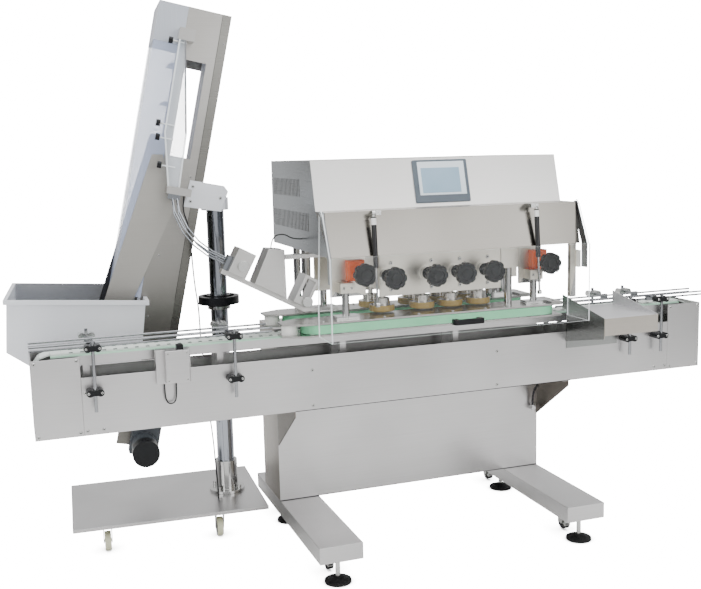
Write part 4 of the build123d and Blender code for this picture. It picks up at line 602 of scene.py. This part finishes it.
# Operator panel: a dark blue-grey moulded bezel on the slope, a white inner frame
# and a plain touch screen of glossy glass, switched off but for its dim glow.
bezel_grey = moulded("blue_grey_abs", "#525c66", "#5f6973", 0.4)
frame_white = moulded("bluish_white_abs", "#dde9f2", "#e9f2f8", 0.35)
skin("panel_bezel", [(bezel_grey, None)], edge=0.8)
skin("panel_screen", [(frame_white, None)], edge=0.3)
slope_up = Vector((0, 49, 181)).normalized()
slope_out = Vector((1, 0, 0)).cross(slope_up)
slope_corner = Vector((1436, -22, 1530))


def on_slope(across, up, out):
    return at(*(slope_corner + Vector((across, 0, 0)) + slope_up * up + slope_out * out))


screen_glass, glass_tree, glass_shader = coat("dim_touch_glass", Roughness=0.12, IOR=1.5,
                                              Coat_Weight=0.6, Emission_Strength=0.25)
glass_place = add(glass_tree, "ShaderNodeTexCoord")
glass_fade = add(glass_tree, "ShaderNodeTexNoise", {"Scale": 9.0, "Detail": 1.0},
                 {"Vector": glass_place.outputs["Object"]})
glass_tint = add(glass_tree, "ShaderNodeMix",
                 {"data_type": "RGBA", 6: linear("#7f9db4"), 7: linear("#9db6c8")},
                 {0: glass_fade.outputs["Fac"]})
glass_tree.links.new(glass_tint.outputs[2], glass_shader.inputs["Base Color"])
glass_tree.links.new(glass_tint.outputs[2], glass_shader.inputs["Emission Color"])
eased_box("touch_screen", on_slope, (30, -138, 7.9), (188, -42, 8.7), screen_glass, 0.3)

# Columns: round stainless bars, ground and polished, that stand on the cabinet and
# carry the hood. The polish shows the white room and its dark flags as stripes.
skin("columns", [(polished, None)], edge=1.0)

# Capping head: a machined plate in front of and behind the spindle carriers, a
# bright dial collar behind each knob, and screws at each station.
machined = brushed("machined_steel_plate", "#c9c5ba", "#dedacf", 0.3, grain=(3, 3, 500))
skin("head_plate", [(polished, lambda p: p.y < -0.01), (machined, None)], edge=1.2)
stations, from_station = (1333, 1501, 1622, 1743), 22.5
screws("head_screws", [((x + from_station, 0, z), front) for x in stations
                       for z in (1137, 1035)], radius=8, height=5)

# Spindles: an aluminium hub over a disc with an amber polyurethane tyre, which
# grips the cap; each turns in the carrier on its own shaft.
amber = moulded("amber_polyurethane_tyre", "#a38a45", "#bd9f58", 0.38, grain=500)
hub_aluminium = plain_metal("turned_aluminium", "#cbc8c2", 0.22)
tyre_top = 974.9
for row in ("front", "rear"):
    for number in range(1, 5):
        skin(f"spindle_{row}_{number}", [(amber, lambda p: p.z < tyre_top), (hub_aluminium, None)],
             edge=1.0)

# Knobs: black moulded hand wheels with eight finger scallops on steel screws,
# four along the head and one at each end for its height.
rim_back = -74.5
for name in ("head_knob_1", "head_knob_2", "head_knob_3", "head_knob_4", "end_knob_left",
             "end_knob_right"):
    skin(name, [(black_nylon, lambda p: p.y < rim_back), (polished, None)], edge=1.6)

# End plates with their height counters: plain orange moulded cases, the
# clamp nuts, the chrome rods of the belt units and the guard's switch.
orange = moulded("orange_abs_case", "#e2541c", "#ee6a2c", 0.36, gloss=0.3)
switch_white = moulded("ivory_abs_case", "#dcdcd4", "#e9e9e2", 0.4)
end_knobs = ((1214, 1111), (1990, 1107))
counter_left, counter_right, counter_low, counter_high = -41.2, 25.2, -30.2, 48.2
switch_inset, switch_back = 8.1, -160
block_foot, front_bars, rear_bars = 1041, 60, 150


def is_counter(p):
    return p.y < -0.5 and any(counter_left < p.x - x < counter_right
                              and counter_low < p.z - z < counter_high for x, z in end_knobs)


def is_switch(p):
    return p.x > housing_right - switch_inset and p.y < switch_back


def is_bar(p):
    return p.z < block_foot and (p.y < front_bars or p.y > rear_bars)


skin("end_blocks", [(orange, is_counter), (switch_white, is_switch), (polished, is_bar),
                    (machined, None)], edge=1.2)
screws("clamp_nut_screws", [((x + reach, -58, 1060), front) for x in (1160, 1953)
                            for reach in (-15, 15)], radius=6, height=3)

# Guard: one bent sheet of clear acrylic, hinged under the hood on two steel arms,
# with a black pull handle. Its flame-polished edges and its folds gather light, which
# is painted on them as pale lines of highlight, while the sheet itself hardly shows.
clear_sheet, _, _ = coat("clear_cast_acrylic", Base_Color=linear("#f2f6f7"), Roughness=0.04,
                         IOR=1.49, Alpha=0.02)
# Pale coat for the edges and folds: a painted highlight.
painted_edge_highlight, _, _ = coat("acrylic_edge_painted_highlight", Base_Color=linear("#f1f6f8"), Roughness=0.2,
                      IOR=1.49, Alpha=0.8)
guard_left, guard_right, guard_front, guard_sheet = 1026, 2064, -262, 6
fold_line = 5


def is_guard_edge(p):
    middles = (p.y - guard_front, p.x - guard_left, guard_right - p.x)
    on_rim = any(abs(inward - guard_sheet / 2) < 2.4 for inward in middles)
    on_fold = p.y < guard_front + guard_sheet + 0.1 and min(middles[1:]) < fold_line
    return on_rim or on_fold


skin("guard_panel", [(painted_edge_highlight, is_guard_edge), (clear_sheet, None)], edge=0.6,
     cuts=[((guard_left + fold_line, 0, 0), (1, 0, 0)),
           ((guard_right - fold_line, 0, 0), (1, 0, 0))])
skin("guard_handle", [(black_nylon, None)], edge=1.5)
arm_outline = ((-154, 1330), (-160, 1352), (-180, 1352), (-188, 1338), (-254, 1194), (-254, 1102),
               (-216, 1102), (-216, 1194))
arm_sheet, arm_gap = 3, 0.5
arm_xs = {"left": guard_left + guard_sheet + arm_gap,
          "right": guard_right - guard_sheet - arm_gap - arm_sheet}
for side, x in arm_xs.items():
    corners = [at(x + thick, y, z) for thick in (0, arm_sheet) for y, z in arm_outline]
    count = len(arm_outline)
    faces = [tuple(range(count)), tuple(range(count, 2 * count))]
    faces += [(i, (i + 1) % count, (i + 1) % count + count, i + count) for i in range(count)]
    arm = solid(f"guard_arm_{side}", corners, faces)
    # The arms take the hood side's steel, painted in shade.
    arm.data.materials.append(painted_shade_side_steel)
    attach(arm, "guard")

# Gas springs: black painted cylinders with a plain white band, chrome rods and
# zinc eyes on ball studs. They hold the guard open.
spring_black = moulded("black_baked_enamel", "#0f1012", "#191a1c", 0.3, depth=0.00005)
band_white = moulded("white_paper_band", "#e8e8e6", "#f2f2f0", 0.6)
spring_top = Vector((0, -215, 1344))
spring_run = (Vector((0, -240, 1020)) - spring_top).normalized()
neck_end, band_start, band_end = 13.9, 18, 42


def along_spring(p):
    return (Vector((0, p.y, p.z)) - spring_top).dot(spring_run)


for side, x in spring_xs.items():
    skin(f"spring_cylinder_{side}",
         [(zinc, lambda p: along_spring(p) < neck_end),
          (band_white, lambda p: band_start < along_spring(p) < band_end), (spring_black, None)],
         edge=0.6, cuts=[((x, *(spring_top + spring_run * reach).yz), spring_run)
                         for reach in (band_start, band_end)])
    skin(f"spring_rod_{side}", [(polished, None)], edge=0.4)

# Cap dispenser: a folded steel box and ground blocks on the bar that slopes down
# to the head, with bright clamp knobs.
dispenser_front, clamp_top = 60, 1190
satin = brushed("satin_steel_plate", "#b8b7b4", "#cdccca", 0.28)
skin("dispenser_box", [(satin, None)], edge=1.5)
skin("dispenser_blocks",
     [(zinc, lambda p: p.y < dispenser_front - 0.1 and p.z < clamp_top), (satin, None)],
     edge=1.2)

# Cap track: four stainless rods, bent side by side, that turn the caps on their way
# from the lift to the dispenser. They are glossy and show the room's dark flags.
track_bar = plain_metal("bent_stainless_bar", "#8b8f94", 0.12)
skin("cap_track", [(track_bar, None)], edge=0.3)

# Cap lift: a folded stainless frame that stands in the hopper and leans to the
# right, with a strip beyond a seam along its right edge. A misted clear cover, whose
# top part is steel, closes its left side. Its sheet is painted darker towards the
# foot, as shade.
hopper_turn = Matrix.Translation(Vector((139, 530, 0))) @ Matrix.Rotation(math.radians(-4), 4, "Z")
lift_turn = hopper_turn @ Matrix.Rotation(math.radians(12.36), 4, "Y")
lift_back = lift_turn.inverted()
seam_at, cover_steel = 250, 2060


def lift_point(across, deep, up):
    """The drawing point of a place on the lift, which leans and is turned a little."""
    return tuple(lift_turn @ Vector((across, deep, up)))


def on_lift(across, deep, up):
    return at(*lift_point(across, deep, up))


lift_up = lift_turn.to_3x3() @ Vector((0, 0, 1))
lift_front = lift_turn.to_3x3() @ Vector((0, -1, 0))
# Both lift sheets are painted darker towards the foot: painted shade.
lift_steel = brushed("brushed_steel_lift", "#b2b0ac", "#cbc9c5", 0.3,
                     painted_shade_fade=(0.75, 1.75, "#716f6a"))
strip_steel = brushed("brushed_seam_strip", "#8f8e89", "#a6a5a0", 0.27,
                      painted_shade_fade=(0.75, 2.1, "#5f5e59"))
lift_side = skin("lift_frame", [(strip_steel, lambda p: (lift_back @ p).x > seam_at + 0.5),
                                (lift_steel, None)], edge=0)
window_cut = box("window_cut", on_lift, (200, 290, 1630), (266, 310, 2010))
opened = lift_side.modifiers.new("wider_rear_window", "BOOLEAN")
opened.operation, opened.object, opened.solver = "DIFFERENCE", window_cut, "EXACT"
seen = bpy.context.evaluated_depsgraph_get()
cut_mesh = bpy.data.meshes.new_from_object(lift_side.evaluated_get(seen))
lift_side.modifiers.remove(opened)
lift_side.data = cut_mesh
bpy.data.objects.remove(window_cut)
misted, _, _ = coat("misted_acrylic", Base_Color=linear("#c3cde4"), Roughness=0.2, IOR=1.49,
                    Alpha=0.55)
cover_top = brushed("bluish_brushed_top", "#bcc3cf", "#dfe4ec", 0.3, grain=(420, 3, 3))
skin("lift_cover", [(cover_top, lambda p: (lift_back @ p).z > cover_steel), (misted, None)],
     edge=1.0, cuts=[(lift_point(0, 0, cover_steel), lift_up)])
screws("lift_screws",
       [(lift_point(across, -0.1, up), tuple(lift_front)) for across, up in
        ((155, 980), (158, 1230), (128, 2100), (272, 2100), (128, 1560), (230, 1560))],
       radius=5.5, height=3)
# A thin dark line of painted shade marks the seam.
seam = box("lift_seam", on_lift, (seam_at - 0.4, -0.7, 1060), (seam_at + 0.8, 0.4, 2208))
seam.data.materials.append(painted_gap_shade)
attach(seam, "root")

# The lift's belt: white food-grade rubber with upright cleats that carry the caps
# up, over a steel roller at each end of the frame.
belt_white = moulded("white_cleated_rubber", "#e1e5ec", "#eef0f4", 0.5)
skin("lift_belt", [(belt_white, None)], edge=0.6)

# Lift motor: a motor in dark grey enamel with a black moulded fan cover, on the
# gearbox that is bolted to the front of the lift.
motor_paint = moulded("dark_grey_enamel", "#3a3f44", "#4a5056", 0.4)
fan_cover_end = -143.9
skin("lift_motor", [(black_nylon, lambda p: (lift_back @ p).y < fan_cover_end),
                    (motor_paint, None)], edge=1.5)

# Hopper: a welded stainless tub with a folded rim, and two cheeks that run up the
# lift. It is blasted, so it is matt and a little bluer than the frame, which a
# metallic value below 1 gives, and painted light as a reflection of the white floor;
# its inside and the rear cheek's inner face are painted darker, as shade.
hopper_steel = brushed("blasted_hopper_steel", "#e6e9ef", "#f5f7fa", 0.5, metallic=0.6)
cheek_steel = brushed("warm_grey_cheek_sheet", "#a19f9a", "#b1afaa", 0.42)
cheek_right, cheek_sheet, lift_depth = 195, 4, 300
tub_left, tub_right, tub_front, tub_back = -167, 347, -119, 399
hopper_back = hopper_turn.inverted()


def is_cheek(p):
    q = lift_back @ p
    in_front = -cheek_sheet - 0.3 < q.y < 0.3
    behind_lift = lift_depth + 0.6 < q.y < lift_depth + cheek_sheet + 0.3
    return q.x < cheek_right and (in_front or behind_lift)


def is_rear_cheek(p):
    q = lift_back @ p
    return q.x < cheek_right and lift_depth - 0.3 < q.y < lift_depth + 0.6


def is_tub_inside(p):
    q = hopper_back @ p
    return min(abs(q.x - tub_left), abs(q.x - tub_right),
               abs(q.y - tub_front), abs(q.y - tub_back)) < 0.6


tub_shade = brushed("shaded_hopper_inside", "#a4a6aa", "#b8babe", 0.38)
painted_shade_rear_cheek = brushed("shaded_rear_cheek", "#3a3b3e", "#46474a", 0.45)
# The tub's inside and the rear cheek's inner face take darker copies: painted shade.
skin("hopper", [(cheek_steel, is_cheek), (painted_shade_rear_cheek, is_rear_cheek), (tub_shade, is_tub_inside),
                (hopper_steel, None)], edge=1.2)

# Cap chute: a tapering channel of clear acrylic in front of the lift, scuffed and
# so a little milky. The upper part of its right rail and the block at its head
# are steel, and black thumb knobs on steel studs hold it.
thumb_knobs = ((62, 2062), (66, 1744), (72, 1690), (96, 1585))
knob_depth, knob_half, knob_radius, stud_radius = -69, 9, 13.5, 3.2
chute_low, chute_high, chute_right = 1512.5, 2071.5, 190
sheet_back, sheet_face, sheet_left = -57, -60, 80
rail_face, rail_left, right_rail, steel_rail_foot = -78, 85, 135, 1722


def is_thumb_knob(p):
    q = lift_back @ p
    return any(abs(q.x - across) < knob_half and abs(q.z - up) < knob_radius
               and math.hypot(q.y - knob_depth, q.z - up) > stud_radius
               for across, up in thumb_knobs)


def is_chute_sheet(p):
    q = lift_back @ p
    in_sheet = sheet_face - 0.2 < q.y < sheet_back + 0.2
    return in_sheet and chute_low < q.z < chute_high and sheet_left < q.x < chute_right


def is_chute_rail(p):
    q = lift_back @ p
    in_rail = rail_face - 0.2 < q.y < sheet_face - 0.1
    return in_rail and chute_low < q.z < chute_high and rail_left < q.x < chute_right


def is_steel_rail(p):
    q = lift_back @ p
    return is_chute_rail(p) and q.x > right_rail and q.z > steel_rail_foot


chute_sheet, _, _ = coat("scuffed_clear_acrylic", Base_Color=linear("#e9eef4"), Roughness=0.15,
                         IOR=1.49, Alpha=0.5)
# The steel upper part of the right rail is a darker copy of the steel, painted in shade; the clear
# rails take the painted edge highlight.
painted_shade_rail_steel = brushed("shaded_chute_rail", "#84868a", "#9b9da1", 0.28)
skin("cap_chute", [(black_nylon, is_thumb_knob), (chute_sheet, is_chute_sheet),
                   (painted_shade_rail_steel, is_steel_rail), (painted_edge_highlight, is_chute_rail), (satin, None)],
     edge=0.8, cuts=[(lift_point(0, 0, steel_rail_foot), lift_up)])

# Post of the cart: a hard-chromed tube in a flanged sleeve, the hand wheel that
# turns on its collar, and the bracket that clamps the lift to it.
chrome = plain_metal("hard_chrome", "#989ca3", 0.1, speckle=400)
sleeve_top, collar_low, collar_high = 270, 922, 938


def is_tube(p):
    return p.z > sleeve_top + 0.1 and not collar_low < p.z < collar_high


skin("post", [(chrome, is_tube), (polished, None)], edge=1.0)
skin("post_handwheel", [(black_nylon, None)], edge=1.5)
skin("post_bracket", [(hopper_steel, None)], edge=1.2)
screws("bracket_screws",
       [(lift_point(across, -8, up), tuple(lift_front)) for across, up in
        ((245, 1465), (245, 1525), (361, 1499))], radius=7, height=4)

# Casters of the cart: cream polyurethane wheels in plated steel forks, each on a
# swivel under a corner of the cart's plate.
cream = moulded("cream_polyurethane_wheel", "#dcdcb8", "#e8e8cd", 0.42)
tread_half, hub_radius, trail, axle_height = 12.6, 30, 24, 37.5
cart_turn = Matrix.Translation(Vector((146, 341, 0))) @ Matrix.Rotation(math.radians(-3), 4, "Z")
cart_back = cart_turn.inverted()
for row, y in (("front", 78), ("rear", 470)):
    for side, x in (("left", 133), ("right", 583)):
        def is_tread(p, x=x, y=y):
            q = cart_back @ p
            from_axle = math.hypot(q.y - y - trail, q.z - axle_height)
            return abs(q.x - x) < tread_half and from_axle > hub_radius
        skin(f"caster_{row}_{side}", [(cream, is_tread), (zinc, None)], edge=0.8)

# Cables: leads in a black rubber sheath with a soft sheen, each held at both ends.
# The long one falls from the lift to the cart's plate and sways a little.
cable_rubber = moulded("black_cable_sheath", "#0e0f10", "#1a1b1d", 0.5)


def lead(name, points, diameter):
    """A cable on one smooth line through the pull of its points, in drawing millimetres."""
    line = bpy.data.curves.new(name, "CURVE")
    line.dimensions = "3D"
    spline = line.splines.new("NURBS")
    spline.points.add(len(points) - 1)
    for control, point in zip(spline.points, points):
        control.co = (*at(*point), 1)
    spline.order_u = 3
    spline.use_endpoint_u = True
    spline.resolution_u = 8
    line.bevel_depth = diameter / 2
    line.bevel_resolution = 3
    line.use_fill_caps = True
    line.materials.append(cable_rubber)
    made = bpy.data.objects.new(name, line)
    bpy.context.scene.collection.objects.link(made)
    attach(made, "root")
    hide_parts(name.replace("_lead", "_cable"))


lead("cabinet_lead", [(2112, 247, 440), (2112, 247, 500), (2108, 185, 548), (2108, 185, 599)],
     0.009)
lead("junction_lead", [(478, -15, 763), (478, -15, 715), (486.75, -15, 687), (511.25, -15, 687),
                       (520, -15, 715), (520, -15, 763)], 0.005)
lead("dispenser_lead", [(915, 102, 1208.9), (920.2, 102, 1253.6), (968, 102, 1262),
                        (1002, 106, 1238), (1040, 106, 1238)], 0.005)
fall_start, fall_end = Vector((672, 455, 1290)), Vector((746, 470, 195))
fall_steps, sway_reach, sway_turn = 13, 5, 1.9
lift_route = [lift_point(215, -30, 1482), lift_point(215, -30, 1430)]
for i in range(fall_steps + 1):
    share = i / fall_steps
    sway = sway_reach * math.sin(sway_turn * i) * math.sin(math.pi * share)
    lift_route.append(tuple(fall_start.lerp(fall_end, share) + Vector((sway, sway, 0))))
lift_route.append((746, 470, 135))
lead("lift_lead", lift_route, 0.006)
